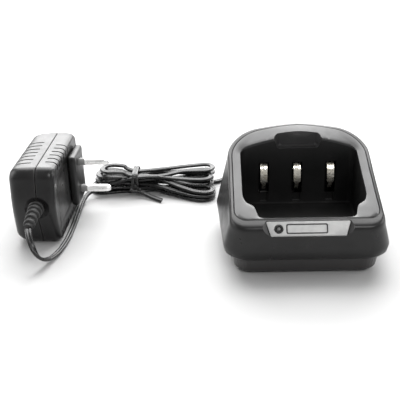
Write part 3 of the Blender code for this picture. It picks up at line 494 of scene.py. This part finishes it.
def fold(start, end, direction):
    """Points of a half circle between the ends of two runs, bulging along x."""
    a = Vector(start)
    b = Vector(end)
    out = Vector((direction * (b - a).length / 2, 0.0, 0.0))
    turns = [math.radians(degrees) for degrees in (30.0, 60.0, 90.0, 120.0, 150.0)]
    return [tuple(a.lerp(b, (1.0 - math.cos(turn)) / 2) + out * math.sin(turn)) for turn in turns]


def last_run_points():
    right_y, right_z = right_slot(2 * PAIRS)
    start = [(-57.4, right_y, right_z), (-61.0, right_y, right_z), (-72.0, right_y - 1.4, right_z + 0.4)]
    return start + LAST_RUN


def cord_route():
    points = list(CRADLE_RUN)
    for run in range(2 * PAIRS):
        here = run_points(run)
        if run % 2:
            here.reverse()
            points += fold(points[-1], here[0], -1)
        elif run:
            points += fold(points[-1], here[0], 1)
        points += here
    last = last_run_points()
    points += fold(points[-1], last[0], 1)
    points += last
    points += list(reversed(ADAPTER_RUN))
    return points


def figure_eight():
    """Section of the twin flex."""
    centre = CORD_WIDTH / 2 - CORD_LOBE
    lobe = arc((0.0, 0.0), CORD_LOBE, -CORD_HALF_ARC, CORD_HALF_ARC, 10, with_last=True)
    right = [(centre + x, y) for x, y in lobe]
    return right + [(-x, -y) for x, y in right]


def flat_sides(line):
    """Where the flex's width points along its line: level, and turning slowly where the line is steep."""
    sides = []
    for i in range(len(line)):
        along = heading(line, i)
        side = along.cross(Vector((0.0, 0.0, 1.0)))
        if sides and side.length < 0.3:
            side = sides[-1]
        sides.append(side.normalized())
    for _ in range(8):
        sides = [(sides[max(i - 1, 0)] + sides[i] + sides[min(i + 1, len(sides) - 1)]).normalized()
                 for i in range(len(sides))]
    return sides


def make_cord():
    line = even_points(spline(cord_route(), 12), CORD_STEP)
    lead = solid("lead", swept(line, figure_eight(), flat_sides(line)), "flex", "power_lead",
                 ("cord_run_adapter", "cord_hank", "cord_run_cradle"), 60.0)
    length = sum((b - a).length for a, b in zip(line, line[1:]))
    return lead, [tuple(point * MM) for point in line], length * MM


lead, lead_path, lead_length = make_cord()


# ---------------------------------------------------------------------------
# Twist tie
# ---------------------------------------------------------------------------

TIE_X = -104.4
TIE_HALF_WIDTH = 0.85
# y, z round the bundle
TIE_LOOP = [(68.2, 8.0), (68.6, 12.0), (71.6, 14.4), (79.0, 14.4), (85.0, 14.0), (88.2, 11.6),
            (88.7, 7.0), (88.0, 2.4), (85.0, 0.5), (79.0, 0.5), (71.6, 0.5), (68.6, 3.0)]


def tie_section(half_width):
    """A thin strip with a wire down its middle."""
    below = [(-half_width, -0.16), (-0.4, -0.2), (0.0, -0.42), (0.4, -0.2), (half_width, -0.16)]
    return below + [(x, -y) for x, y in reversed(below)]


def tie_band(bm, x, lean):
    """One turn of the strip round the bundle."""
    count = len(TIE_LOOP)
    line = []
    for i in range(count):
        a, b, c, d = (Vector((x + lean * math.sin(2 * math.pi * ((i + k) % count) / count),
                              *TIE_LOOP[(i + k) % count])) for k in (-1, 0, 1, 2))
        line += [catmull(a, b, c, d, k / 4) for k in range(4)]
    rings = []
    size = len(line)
    for i, here in enumerate(line):
        along = (line[(i + 1) % size] - line[i - 1]).normalized()
        side = Vector((1.0, 0.0, 0.0))
        up = side.cross(along).normalized()
        rings.append([here + side * a + up * b for a, b in tie_section(TIE_HALF_WIDTH)])
    loft(rings, True, bm)


def tie_strand(bm, points, turns, half_width, lean=0.0):
    """A length of the strip, twisted a number of turns on its way from a first lean in degrees."""
    line = even_points(spline(points, 10), 0.45)
    sides = []
    for i in range(len(line)):
        a = math.radians(lean) + 2 * math.pi * turns * i / (len(line) - 1)
        along = heading(line, i)
        flat = along.cross(Vector((0.0, 0.0, 1.0))).normalized()
        sides.append(flat * math.cos(a) + along.cross(flat) * math.sin(a))
    swept(line, tie_section(half_width), sides, bm)


def make_tie():
    bm = bmesh.new()
    tie_band(bm, TIE_X - 1.3, 0.5)
    tie_band(bm, TIE_X + 1.7, -0.6)
    knot = [(TIE_X - 0.6, 67.9, 7.4), (TIE_X + 1.8, 66.2, 5.8), (TIE_X + 4.6, 64.6, 4.2)]
    tie_strand(bm, knot, 1.6, 1.35)
    tie_strand(bm, [(x, y + 0.4, z + 0.5) for x, y, z in knot], 2.1, 1.2)
    long_tail = [(TIE_X + 7.6, 62.9, 3.0), (TIE_X + 13.4, 59.2, 1.9), (TIE_X + 19.0, 55.5, 1.5)]
    tie_strand(bm, [knot[-1]] + long_tail, 0.0, 1.7, 42.0)
    short_tail = [(TIE_X + 2.4, 64.0, 4.4), (TIE_X - 0.6, 63.6, 5.2), (TIE_X - 2.6, 64.0, 6.4)]
    tie_strand(bm, [knot[-1]] + short_tail, 0.4, 1.0)
    return solid("tie", bm, "tie", "power_lead", ("twist_tie",), 50.0)


tie = make_tie()


# ---------------------------------------------------------------------------
# Cradle outlines
# ---------------------------------------------------------------------------

BODY_HALF_WIDTH = 47.4
BODY_TAPER = 0.0013
PARTING_Z = 10.55
SKIRT_Z = 16.5
DETAIL = 3                      # points along an outline, as a multiple of the counts given with it
ARCH_INNER = 36.0
ARCH_SEAM = 41.2
ARCH_OUTER = 44.5
ARCH_RISE = 8.2
RIM_FRONT = (-36.0, 33.0)       # y and z
RIM_SLOPE = 0.3
POCKET_STEP_Y = -24.1
POCKET_BACK_Y = 22.6
POCKET_FLOOR_Z = 15.0
SEAM = (39.6, -35.0, 33.6)
TRIM_CENTRE = Vector((0.0, -38.15, 29.6))
TRIM_TILT = math.atan2(6.6, 4.6)
LED_X = -15.8
JACK = (-18.0, 16.4)            # x and z of the plug's axis
CONTACT_STEP = 20.0


def body_outline(w, front, back, front_radius=11.0, back_radius=19.0):
    """Plan outline of the cradle, counter-clockwise from the front's left corner."""
    f = front + front_radius
    b = back - back_radius
    points = straight((-w + front_radius, front), (w - front_radius, front), 8 * DETAIL)
    points += arc((w - front_radius, f), front_radius, -90, 0, 7 * DETAIL)
    points += straight((w, f), (w, b), 6 * DETAIL)
    points += arc((w - back_radius, b), back_radius, 0, 90, 8 * DETAIL)
    points += straight((w - back_radius, back), (-w + back_radius, back), 8 * DETAIL)
    points += arc((-w + back_radius, b), back_radius, 90, 180, 8 * DETAIL)
    points += straight((-w, b), (-w, f), 6 * DETAIL)
    points += arc((-w + front_radius, f), front_radius, 180, 270, 7 * DETAIL)
    return points


def pocket_outline(squeeze=1.0, inset=0.0):
    """Plan outline of the pocket with the same point count as body_outline."""
    def throat(y):
        return POCKET_STEP_Y + (y - POCKET_STEP_Y) * squeeze

    w = 34.2
    r = 4.0
    front = throat(-33.0)
    corners = [(0.0, front), (25.9, front), (28.1, POCKET_STEP_Y), (32.6, POCKET_STEP_Y + 3.2),
               (w, POCKET_STEP_Y + 8.2), (w, POCKET_BACK_Y - r)]
    half = []
    for start, end, count in zip(corners, corners[1:], (4, 3, 2, 2, 6)):
        half += straight(start, end, count * DETAIL)
    half += arc((w - r, POCKET_BACK_Y - r), r, 0, 90, 8 * DETAIL)
    half += straight((w - r, POCKET_BACK_Y), (0.0, POCKET_BACK_Y), 4 * DETAIL)
    left = [(-x, y) for x, y in reversed(half[1:])]
    points = half + [(0.0, POCKET_BACK_Y)] + left
    start = len(points) - 4 * DETAIL
    points = points[start:] + points[:start]
    points = relaxed(points, 3)
    return offset(points, -inset) if inset else points


def relaxed(points, passes):
    """Round an outline's corners a little."""
    for _ in range(passes):
        count = len(points)
        points = [((points[i - 1][0] + 2 * points[i][0] + points[(i + 1) % count][0]) / 4,
                   (points[i - 1][1] + 2 * points[i][1] + points[(i + 1) % count][1]) / 4)
                  for i in range(count)]
    return points


def at_rim(points, arch_half_width, drop=0.0):
    """Lift an outline to the rim: a plane rising to the back, arched over its rear part."""
    lifted = []
    for x, y in points:
        arch = max(0.0, 1.0 - abs(x / arch_half_width) ** 1.65)
        plane = RIM_FRONT[1] + RIM_SLOPE * (y - RIM_FRONT[0])
        lifted.append(Vector((x, y, plane + ARCH_RISE * arch * smooth_step(y, 0.0, 22.0) - drop)))
    return lifted


def at_height(points, z, taper=0.0):
    return [Vector((x * (1.0 + taper * y), y, z)) for x, y in points]


def between(low, high, t):
    return [a.lerp(b, t) for a, b in zip(low, high)]


# ---------------------------------------------------------------------------
# Cradle pieces
# ---------------------------------------------------------------------------

def slanted(points, height):
    """Local trim coordinates (x, along the slope) at a height over the sloped edge."""
    turn = Matrix.Rotation(TRIM_TILT, 3, "X")
    return [TRIM_CENTRE + turn @ Vector((x, s, height)) for x, s in points]


def rounded_corners(corners, radius, steps):
    """Outline through four corners, from the near left to the far left one, with an arc at each."""
    points = []
    for index, (x, s) in enumerate(corners):
        inward = 1 if index in (0, 3) else -1
        centre = (x + inward * radius, s - math.copysign(radius, s))
        points += arc(centre, radius, 180 + 90 * index, 270 + 90 * index, steps, with_last=True)
    return points


def trim_outline(grow):
    half = 4.0 + grow
    near = 20.3 + grow
    far = 22.4 + grow
    return rounded_corners([(-near, -half), (near, -half), (far, half), (-far, half)], 0.8, 5)


def rounded_rectangle(left, right, half, radius):
    return rounded_corners([(left, -half), (right, -half), (right, half), (left, half)], radius, 6)


def housing_rings():
    """Up the outside from the parting line, over the seam with the bezel and down the inside."""
    w = BODY_HALF_WIDTH
    skirt = at_height(body_outline(w, -40.5, 40.5), SKIRT_Z, BODY_TAPER)
    shoulder = at_rim(body_outline(42.5, -40.3, 37.6, 10.0, 18.0), ARCH_OUTER, 6.2)
    upper = softened([skirt, between(skirt, shoulder, 0.5), shoulder,
                      at_rim(body_outline(41.9, -40.1, 36.9, 9.5, 17.5), ARCH_OUTER, 2.6),
                      at_rim(body_outline(41.0, -38.9, 35.5, 8.5, 16.8), ARCH_OUTER, 0.7),
                      at_rim(body_outline(*SEAM, 7.5, 16.5), ARCH_SEAM, 0.1)], 4)
    seam_wall = body_outline(39.35, -34.75, 33.35, 7.5, 16.5)
    return [
        at_height(body_outline(w - 2.7, -38.7, 38.9), PARTING_Z + 0.3, BODY_TAPER),
        at_height(body_outline(w - 2.3, -39.1, 39.3), PARTING_Z + 0.6, BODY_TAPER),
        at_height(body_outline(w - 1.5, -39.6, 39.7), PARTING_Z + 1.4, BODY_TAPER),
        at_height(body_outline(w - 0.7, -40.1, 40.2), SKIRT_Z - 3.7, BODY_TAPER),
        *upper,
        at_rim(seam_wall, ARCH_SEAM, 0.5),
        at_rim(seam_wall, ARCH_SEAM, 2.2),
        at_rim(body_outline(40.4, -37.2, 35.2, 8.0, 16.4), ARCH_SEAM, 5.4),
        at_height(body_outline(w - 2.0, -38.5, 38.5, 9.0, 17.0), SKIRT_Z, BODY_TAPER),
        at_height(body_outline(w - 4.4, -37.0, 37.2, 9.0, 17.0), PARTING_Z + 0.3, BODY_TAPER),
    ]


def make_housing():
    housing = solid("housing", loft(housing_rings(), close_loop=True), "abs", "cradle", ("upper_housing",))
    seat = loft([slanted(trim_outline(grow), height)
                 for grow, height in ((0.3, -1.1), (0.5, 0.0), (2.4, 1.3), (4.6, 3.4))])
    circle = arc((LED_X, 0.0), 1.95, 0, 360, 32)
    led_hole = loft([slanted(circle, -6.0), slanted(circle, -0.4)])
    jack_hole = loft(turned([(5.6, 34.0), (5.6, 45.0)], 48, "Y", (JACK[0], 0.0, JACK[1])))
    cut(housing, [(seat, "DIFFERENCE"), (led_hole, "DIFFERENCE"), (jack_hole, "DIFFERENCE")])
    return housing


def notch_ring(y, bottom, top, low, high, radius):
    """Cross-section of the belt-clip notch at one depth, with rounded lower corners."""
    points = []
    for side in (-1, 1):
        centre = Vector((side * (bottom - radius), low + radius))
        turns = range(7) if side < 0 else range(6, -1, -1)
        for k in turns:
            a = math.radians(90.0 * k / 6)
            across = side * radius * math.cos(a)
            points.append(Vector((centre.x + across, y, centre.y - radius * math.sin(a))))
    return points + [Vector((top, y, high)), Vector((-top, y, high))]


def insert_rings():
    """From the pocket's floor up its wall, across the bezel, and down the outside and underneath."""
    edge = pocket_outline()
    floor = pocket_outline(0.28, 0.6)
    seam = body_outline(39.25, -34.65, 33.25, 7.2, 16.2)
    lip = at_rim(offset(edge, 0.6), ARCH_INNER)
    seam_top = at_rim(body_outline(38.9, -34.3, 32.9, 7.0, 16.0), ARCH_SEAM, 0.05)
    low_wall = at_height(floor, POCKET_FLOOR_Z + 1.6)
    high_wall = at_rim(edge, ARCH_INNER, 1.3)
    crown = [[point + Vector((0.0, 0.0, lift)) for point in between(lip, seam_top, share)]
             for share, lift in ((0.2, 0.16), (0.5, 0.26), (0.8, 0.16))]
    return [
        at_height(offset(floor, -2.0), POCKET_FLOOR_Z),
        at_height(offset(floor, -0.9), POCKET_FLOOR_Z + 0.2),
        at_height(offset(floor, -0.25), POCKET_FLOOR_Z + 0.7),
        low_wall,
        *(between(low_wall, high_wall, share) for share in (0.2, 0.4, 0.6, 0.8, 1.0)),
        at_rim(offset(edge, 0.06), ARCH_INNER, 0.5),
        at_rim(offset(edge, 0.25), ARCH_INNER, 0.14),
        lip,
        *crown,
        seam_top,
        at_rim(seam, ARCH_SEAM, 0.45),
        at_rim(seam, ARCH_SEAM, 1.8),
        at_rim(offset(edge, 1.6), ARCH_INNER, 2.5),
        at_height(offset(floor, 1.4), POCKET_FLOOR_Z - 1.0),
        at_height(offset(floor, 0.4), POCKET_FLOOR_Z - 2.0),
    ]


def notch_cutters():
    """The block that backs the belt-clip notch, and the notch."""
    block = loft([[(-18.6, 23.0, 48.8), (18.6, 23.0, 48.8), (18.6, 28.6, 48.8), (-18.6, 28.6, 48.8)],
                  [(-18.6, 23.0, 56.2), (18.6, 23.0, 56.2), (18.6, 28.6, 58.2), (-18.6, 28.6, 58.2)]])
    high = 65.0
    notch = loft([notch_ring(POCKET_BACK_Y - 2.5, 13.4, 18.9, 51.2, high, 2.2),
                  notch_ring(POCKET_BACK_Y + 0.2, 12.7, 17.7, 51.0, high, 2.2),
                  notch_ring(POCKET_BACK_Y + 3.2, 11.4, 15.1, 51.0, high, 2.0),
                  notch_ring(POCKET_BACK_Y + 4.2, 10.4, 14.0, 51.8, high, 1.6)])
    return [(block, "UNION"), (notch, "DIFFERENCE")]


def contact_cutters():
    """A slot for each contact, and the channel under it."""
    cutters = []
    for k in (-1, 0, 1):
        x = CONTACT_STEP * k
        cutters.append((rounded_box((x - 3.1, 21.1, 21.6), (x + 3.1, 25.6, 42.2), 0.5), "DIFFERENCE"))
        cutters.append((rounded_box((x - 2.4, 20.2, 16.6), (x + 2.4, 22.95, 23.0), 0.4), "DIFFERENCE"))
    return cutters


def make_insert():
    """Horseshoe bezel and pocket in one moulding, with the belt-clip notch."""
    # The whole moulding first takes the lighter bezel ABS, painted light on its top band.
    insert = solid("pocket", loft(insert_rings()), "bezel", "cradle", ("pocket_insert",))
    floor_dimple = loft(turned([(1.0, 14.0), (1.0, 16.0)], 20, "Z", (20.5, -4.0, 0.0)))
    cut(insert, notch_cutters() + contact_cutters() + [(floor_dimple, "DIFFERENCE")])
    # The pocket's walls and floor take the darker ABS: painted shade inside the pocket.
    insert.data.materials.append(LOOKS["inner"])
    for face in filter(is_inside_pocket, insert.data.polygons):
        face.material_index = 1
        if face.center.z < (POCKET_FLOOR_Z + 0.01) * MM:
            face.use_smooth = False
    return insert


def is_inside_pocket(face):
    """Faces of the pocket's walls and floor, which keep the mould's rougher finish and take the darker ABS
    as painted shade.
    """
    x, y, z = face.center / MM
    rim = at_rim([(x, y)], ARCH_INNER, 1.2)[0].z
    return abs(x) < 34.35 and y < 23.2 and POCKET_FLOOR_Z - 0.5 < z < rim


def make_trim():
    """Silver plate with softened edges, a hole for the light ring and a groove round its blank panel."""
    rings = [slanted(trim_outline(0.0), -0.8), slanted(trim_outline(0.0), -0.15),
             slanted(trim_outline(-0.06), -0.04), slanted(trim_outline(-0.18), 0.0)]
    plate = solid("trim", loft(rings), "trim", "cradle", ("front_trim_plate",))
    circle = arc((LED_X, 0.0), 2.5, 0, 360, 40)
    hole = loft([slanted(circle, -2.0), slanted(circle, 2.0)])
    outer = rounded_rectangle(-11.9, 10.4, 2.75, 1.0)
    inner = rounded_rectangle(-11.15, 9.65, 2.0, 0.6)
    walls = loft([slanted(outer, -0.5), slanted(outer, 1.0), slanted(inner, 1.0), slanted(inner, -0.5)],
                 close_loop=True)
    panel = loft([slanted(inner, -0.14), slanted(inner, 1.5)])
    cut(plate, [(hole, "DIFFERENCE"), (walls, "DIFFERENCE"), (panel, "DIFFERENCE")])
    plate.data.materials.append(LOOKS["block"])
    for face in filter(is_in_groove, plate.data.polygons):
        face.material_index = 1
    return plate


def is_in_groove(face):
    """Faces of the trim's groove, below its blank panel, which are painted dark."""
    back = Matrix.Rotation(-TRIM_TILT, 3, "X")
    x, s, height = back @ (face.center / MM - TRIM_CENTRE)
    return -12.0 < x < 10.5 and abs(s) < 2.8 and -0.7 < height < -0.16


make_housing()
make_insert()
make_trim()


# ---------------------------------------------------------------------------
# Contacts
# ---------------------------------------------------------------------------

LEAF_PIVOT = (25.7, 41.3)       # y and z
# y, z down the strip from its pivot
LEAF_ROUTE = [(0.0, 0.0), (-1.3, -0.7), (-3.2, -2.6), (-4.5, -5.8), (-5.2, -9.4), (-5.1, -11.2),
              (-4.0, -13.0), (-2.4, -15.2), (-0.9, -17.2), (-0.3, -17.8)]


def leaf_half_width(z):
    """The strip is narrower below its contact bulge."""
    return 2.15 - 0.95 * smooth_step(-z, 10.8, 12.4)


def leaf_section(half):
    """A flat strip with eased edges."""
    below = [(-half, -0.1), (-half + 0.12, -0.2), (half - 0.12, -0.2), (half, -0.1)]
    return below + [(x, -y) for x, y in reversed(below)]


def make_leaf(index):
    origin = Vector((CONTACT_STEP * (index - 2), *LEAF_PIVOT))
    across = Vector((1.0, 0.0, 0.0))
    line = even_points(spline([(0.0, y, z) for y, z in LEAF_ROUTE], 8), 0.5)
    rings = []
    for i, here in enumerate(line):
        up = across.cross(heading(line, i))
        section = leaf_section(leaf_half_width(here.z))
        rings.append([here + origin + across * a + up * b for a, b in section])
    solid(f"leaf_{index}", loft(rings), "leaf", f"contact_{index}", (f"contact_leaf_{index}",))


for leaf_number in (1, 2, 3):
    make_leaf(leaf_number)


# ---------------------------------------------------------------------------
# Mains adapter
# ---------------------------------------------------------------------------

ADAPTER = Matrix.Translation((-153.6, 1.6, 0.0)) @ Matrix.Rotation(math.radians(-2.2), 4, "Z")
ADAPTER_LENGTH = 65.0
ADAPTER_HEIGHT = 49.0
PLUG_V = 46.5
PLUG_W = 25.3
PIN_OFFSET = 9.3                # from the plug's middle to a pin's axis
PIN_TIP = 34.7
PIN_ROOT_SHADE_END = 19.315         # depth where the darker grey band at a pin's root ends: painted shade next to the plug block
LEAD_EXIT_W = 27.0
VENT_PITCH = 5.4
BOOT_ROOT_V = -4.0
BOOT_TIP = Vector((-1.4, -19.4, 22.4))
BOOT_RIBS = 5
BOOT_FLATTENING = 0.12          # how much flatter than wide the boot gets by its tip
PLUG_GRIP_Y = 41.1


def adapter_ring(u, inset, radius=6.0):
    """Outline of the adapter at one depth, crowned at the lead's end."""
    r = max(radius - inset * 0.5, 1.2)
    low = inset
    high_v = ADAPTER_LENGTH - inset
    high_w = ADAPTER_HEIGHT - inset
    points = straight((low + r, low), (high_v - r, low), 8 * DETAIL)
    points += arc((high_v - r, low + r), r, -90, 0, 4 * DETAIL)
    points += straight((high_v, low + r), (high_v, high_w - r), 5 * DETAIL)
    points += arc((high_v - r, high_w - r), r, 0, 90, 4 * DETAIL)
    points += straight((high_v - r, high_w), (low + r, high_w), 8 * DETAIL)
    points += arc((low + r, high_w - r), r, 90, 180, 4 * DETAIL)
    points += straight((low, high_w - r), (low, low + r), 8 * DETAIL)
    points += arc((low + r, low + r), r, 180, 270, 4 * DETAIL)
    ring = []
    for v, w in points:
        share = 1.0 - abs(w - ADAPTER_HEIGHT / 2) / (ADAPTER_HEIGHT / 2)
        near = 1.0 - smooth_step(v, 0.0, 9.0)
        ring.append(Vector((u, v - 4.0 * near * smooth_step(share, 0.0, 1.0), w)))
    return ring


def rounded_side(steps):
    """Rings along a smooth run of (depth, inset) steps."""
    return [adapter_ring(p.x, p.y) for p in spline([(u, inset, 0.0) for u, inset in steps], 4)]


def placed(bm):
    bmesh.ops.transform(bm, matrix=ADAPTER, verts=bm.verts)
    return bm


def vents(low_u, high_u, count, first_v, reach):
    """Cooling slots with rounded ends through the top and bottom walls."""
    cutters = []
    for k in range(count):
        v = first_v + VENT_PITCH * k
        for low_w, high_w in ((-2.0, reach), (ADAPTER_HEIGHT - reach, ADAPTER_HEIGHT + 2.0)):
            bm = add_box(bmesh.new(), (low_u, v - 0.6, low_w), (high_u, v + 0.6, high_w))
            upright = [e for e in bm.edges if abs(e.verts[0].co.z - e.verts[1].co.z) > 0.5]
            bmesh.ops.bevel(bm, geom=upright, offset=0.55, segments=4, profile=0.5, affect="EDGES")
            cutters.append((placed(bm), "DIFFERENCE"))
    return cutters


def lead_crater():
    """Shallow dish round the boot, then the hole for it."""
    rings = turned([(4.4, 5.0), (4.4, -2.5), (5.6, -2.7), (7.4, -3.6), (8.3, -4.4), (8.6, -8.0)], 40, "Y",
                   (0.0, 0.0, LEAD_EXIT_W))
    return placed(loft(rings))


def pin_axis(side):
    return (0.0, PLUG_V, PLUG_W + side * PIN_OFFSET)


def make_outer_shell():
    steps = [(-17.3, 7.4), (-16.7, 4.6), (-15.2, 2.5), (-12.6, 1.1), (-8.5, 0.35), (-0.6, 0.0)]
    rings = [adapter_ring(-17.3, 8.4), *rounded_side(steps), adapter_ring(-0.2, 0.3),
             adapter_ring(-0.15, 2.0), adapter_ring(-11.5, 2.9), adapter_ring(-15.3, 7.0)]
    outer = solid("adapter_outer", placed(loft(rings)), "abs", "power_lead", ("adapter_outer_shell",))
    cut(outer, vents(-13.9, -4.4, 7, 11.2, 3.0) + [(lead_crater(), "DIFFERENCE")])
    return outer


def make_wall_shell():
    steps = [(10.5, 3.8), (10.6, 2.2), (9.4, 1.0), (7.2, 0.3), (0.6, 0.0)]
    rings = [adapter_ring(10.5, 5.0), *rounded_side(steps), adapter_ring(0.2, 0.3),
             adapter_ring(0.15, 2.0), adapter_ring(7.5, 2.5), adapter_ring(8.5, 4.0)]
    wall = solid("adapter_wall", placed(loft(rings)), "abs", "power_lead", ("adapter_wall_shell",))
    panel = placed(rounded_box((10.25, 6.5, 10.0), (12.0, 32.5, 40.0), 1.2, 4))
    holes = [(placed(loft(turned([(2.7, 4.0), (2.7, 13.5)], 40, "X", pin_axis(side)))), "DIFFERENCE")
             for side in (-1, 1)]
    dishes = [(lead_crater(), "DIFFERENCE"), (panel, "DIFFERENCE")]
    cut(wall, vents(3.6, 12.5, 6, 12.6, 5.6) + dishes + holes)
    return wall


def make_plug_block():
    block = solid("plug_face", placed(rounded_box((10.8, 35.0, 8.7), (15.7, 58.0, 41.9), 1.6, 5)), "block",
                  "power_lead", ("plug_block",))
    hole = [(2.7, 9.0), (2.7, 15.0), (3.2, 16.4)]
    cut(block, [(placed(loft(turned(hole, 40, "X", pin_axis(side)))), "DIFFERENCE") for side in (-1, 1)])
    return block


def make_pin(index, side):
    """A round pin with a domed tip, a little thicker at its root, where a darker grey band is painted shade
    next to the plug block.
    """
    profile = [(2.4, 5.6), (2.4, 15.9), (2.4, 19.2), (2.32, 19.5), (2.32, 30.4), (2.28, PIN_TIP - 2.4),
               (2.1, PIN_TIP - 1.4), (1.75, PIN_TIP - 0.7), (1.2, PIN_TIP - 0.2), (0.5, PIN_TIP)]
    pin = solid(f"pin_{index}", placed(loft(turned(profile, 40, "X", pin_axis(side)))), "pin", "power_lead",
                (f"mains_pin_{index}",))
    # The faces near the plug block take the darker grey: painted shade at the pin's root.
    pin.data.materials.append(LOOKS["collar"])
    collar_end = (ADAPTER @ Vector((PIN_ROOT_SHADE_END, PLUG_V, 0.0))).x * MM
    for face in pin.data.polygons:
        if face.center.x < collar_end:
            face.material_index = 1
    return pin


def boot_radii(length, ribs):
    """(distance, radius) down the strain relief: a wide ring inside, then ribs with rounded edges."""
    steps = [(-7.5, 5.6), (-5.6, 5.6), (-5.55, 4.0), (0.4, 4.0)]
    span = length / ribs
    for k in range(ribs):
        r = 4.7 - 1.65 * k / ribs
        s = 0.5 + k * (length - 0.5) / ribs
        steps += [(s, r - 0.35), (s + 0.18 * span, r), (s + 0.42 * span, r), (s + 0.54 * span, r - 0.3),
                  (s + 0.6 * span, r - 1.05), (s + 0.9 * span, r - 1.15)]
    return steps + [(length, 2.35)]


def make_boot():
    """Strain relief that bends and flattens towards its tip."""
    root = Vector((0.0, BOOT_ROOT_V, LEAD_EXIT_W))
    length = (BOOT_TIP - root).length
    turns = [2 * math.pi * k / 40 for k in range(40)]
    rings = []
    for distance, radius in boot_radii(length, BOOT_RIBS):
        share = max(0.0, distance / length)
        bend = share ** 2
        centre = Vector((BOOT_TIP.x * bend, root.y - distance, root.z + (BOOT_TIP.z - root.z) * bend))
        flat = 1.0 - BOOT_FLATTENING * share
        rings.append([centre + Vector((radius * math.cos(a), 0.0, radius * flat * math.sin(a)))
                      for a in turns])
    return solid("boot", placed(loft(rings)), "boot", "power_lead", ("strain_relief",))


def make_plug_grip():
    """Grip of the barrel plug: a smooth wide band, four ribs and a bore round the barrel."""
    profile = [(4.2, 0.0), (4.7, 0.25), (4.9, 0.7), (4.9, 7.6), (4.6, 8.5), (4.2, 9.2)]
    for k in range(4):
        s = 9.8 + 2.4 * k
        r = 3.95 - 0.36 * k
        profile += [(r - 0.5, s), (r - 0.5, s + 0.5), (r, s + 0.8), (r - 0.1, s + 1.9)]
    profile += [(2.5, 19.6), (2.4, 21.0)]
    axis = (JACK[0], 0.0, JACK[1])
    rings = turned([(radius, PLUG_GRIP_Y + along) for radius, along in profile], 48, "Y", axis)
    grip = solid("dc_plug_grip", loft(rings), "boot", "power_lead", ("dc_plug_body",))
    bore = loft(turned([(3.05, PLUG_GRIP_Y - 1.0), (3.05, PLUG_GRIP_Y + 1.3)], 40, "Y", axis))
    cut(grip, [(bore, "DIFFERENCE")])
    return grip


adapter_pieces = [make_outer_shell(), make_wall_shell(), make_plug_block(), make_pin(1, -1), make_pin(2, 1),
                  make_boot()]
plug_grip = make_plug_grip()


# ---------------------------------------------------------------------------
# CAD pieces that stay, with their finishes
# ---------------------------------------------------------------------------

def finish_nodes(names, look):
    for name in names:
        NODES[name].data.materials[0] = LOOKS[look]


finish_nodes(["base_plate"], "abs")
finish_nodes([f"rubber_foot_{k}" for k in (1, 2, 3, 4)], "boot")
finish_nodes(["led_ring", "contact_block", "dc_jack", "charge_control_chip", "charge_transistor",
              "bridge_rectifier", "switching_chip", "power_inductor", "filter_capacitor",
              "mains_capacitor", "output_capacitor", "status_led"], "inner")
finish_nodes(["led_light_pipe"], "lens")
finish_nodes(["charge_board", "adapter_board"], "board")
finish_nodes(["dc_plug_barrel", "jack_centre_pin", "pin_contact_1", "pin_contact_2", "board_screw_1",
              "board_screw_2"] + [f"base_screw_{k}" for k in (1, 2, 3, 4)], "pin")
finish_nodes([f"contact_wire_{k}" for k in (1, 2, 3)] + ["led_wire"], "flex")
finish_nodes(["transformer"], "leaf")


# ---------------------------------------------------------------------------
# Floor and light
# ---------------------------------------------------------------------------

ROOM_LIGHT = 0.32               # strength of the white room as a light; the camera sees it at 1
# Name, place, where it points, width and height in metres, and watts
SOFTBOXES = [
    ("low_back_softbox", (-0.05, 1.20, 0.58), (-0.05, 0.0, 0.02), (1.8, 0.7), 22.0),
    ("high_back_softbox", (-0.05, 0.62, 0.80), (-0.05, 0.0, 0.02), (1.4, 0.9), 17.0),
    ("left_softbox", (-1.1, 0.15, 0.45), (-0.05, 0.0, 0.03), (0.7, 0.7), 5.0),
    ("right_softbox", (1.0, 0.15, 0.45), (-0.05, 0.0, 0.03), (0.7, 0.7), 5.0),
    ("front_softbox", (0.35, -0.95, 0.95), (0.0, 0.0, 0.02), (0.6, 0.4), 6.0),
]


def add_floor():
    bpy.ops.mesh.primitive_plane_add(size=8.0)
    floor = bpy.context.object
    floor.name = "floor"
    look = Look("floor_paper", 0.6, specular=0.2)
    look.colour(look.mixed(look.noise(3.0, 2.0), (0.43, 0.43, 0.43), (0.46, 0.46, 0.46)))
    floor.data.materials.append(look.material)


def add_area(name, place, target, size, energy):
    light = bpy.data.lights.new(name, "AREA")
    light.shape = "RECTANGLE"
    light.size, light.size_y = size
    light.energy = energy
    item = bpy.data.objects.new(name, light)
    SCENE.collection.objects.link(item)
    item.location = place
    item.rotation_euler = (Vector(place) - Vector(target)).to_track_quat("Z", "Y").to_euler()


def add_ceiling():
    """A very broad sun, as the light that comes down from a pale ceiling."""
    light = bpy.data.lights.new("ceiling_light", "SUN")
    light.energy = 2.1
    light.angle = math.radians(60.0)
    item = bpy.data.objects.new("ceiling_light", light)
    SCENE.collection.objects.link(item)
    item.rotation_euler = Vector((0.0, 0.62, 1.0)).to_track_quat("Z", "Y").to_euler()


def add_room():
    """White surroundings, dimmer as a light than as a backdrop."""
    world = bpy.data.worlds.new("studio")
    SCENE.world = world
    world.use_nodes = True
    tree = world.node_tree
    background = tree.nodes["Background"]
    background.inputs["Color"].default_value = (1.0, 1.0, 1.0, 1.0)
    seen = tree.nodes.new("ShaderNodeLightPath").outputs["Is Camera Ray"]
    strength = tree.nodes.new("ShaderNodeMapRange")
    strength.inputs["To Min"].default_value = ROOM_LIGHT
    strength.inputs["To Max"].default_value = 1.0
    tree.links.new(seen, strength.inputs["Value"])
    tree.links.new(strength.outputs["Result"], background.inputs["Strength"])


add_floor()
add_room()
add_ceiling()
for softbox in SOFTBOXES:
    add_area(*softbox)
SCENE.view_settings.view_transform = "Standard"
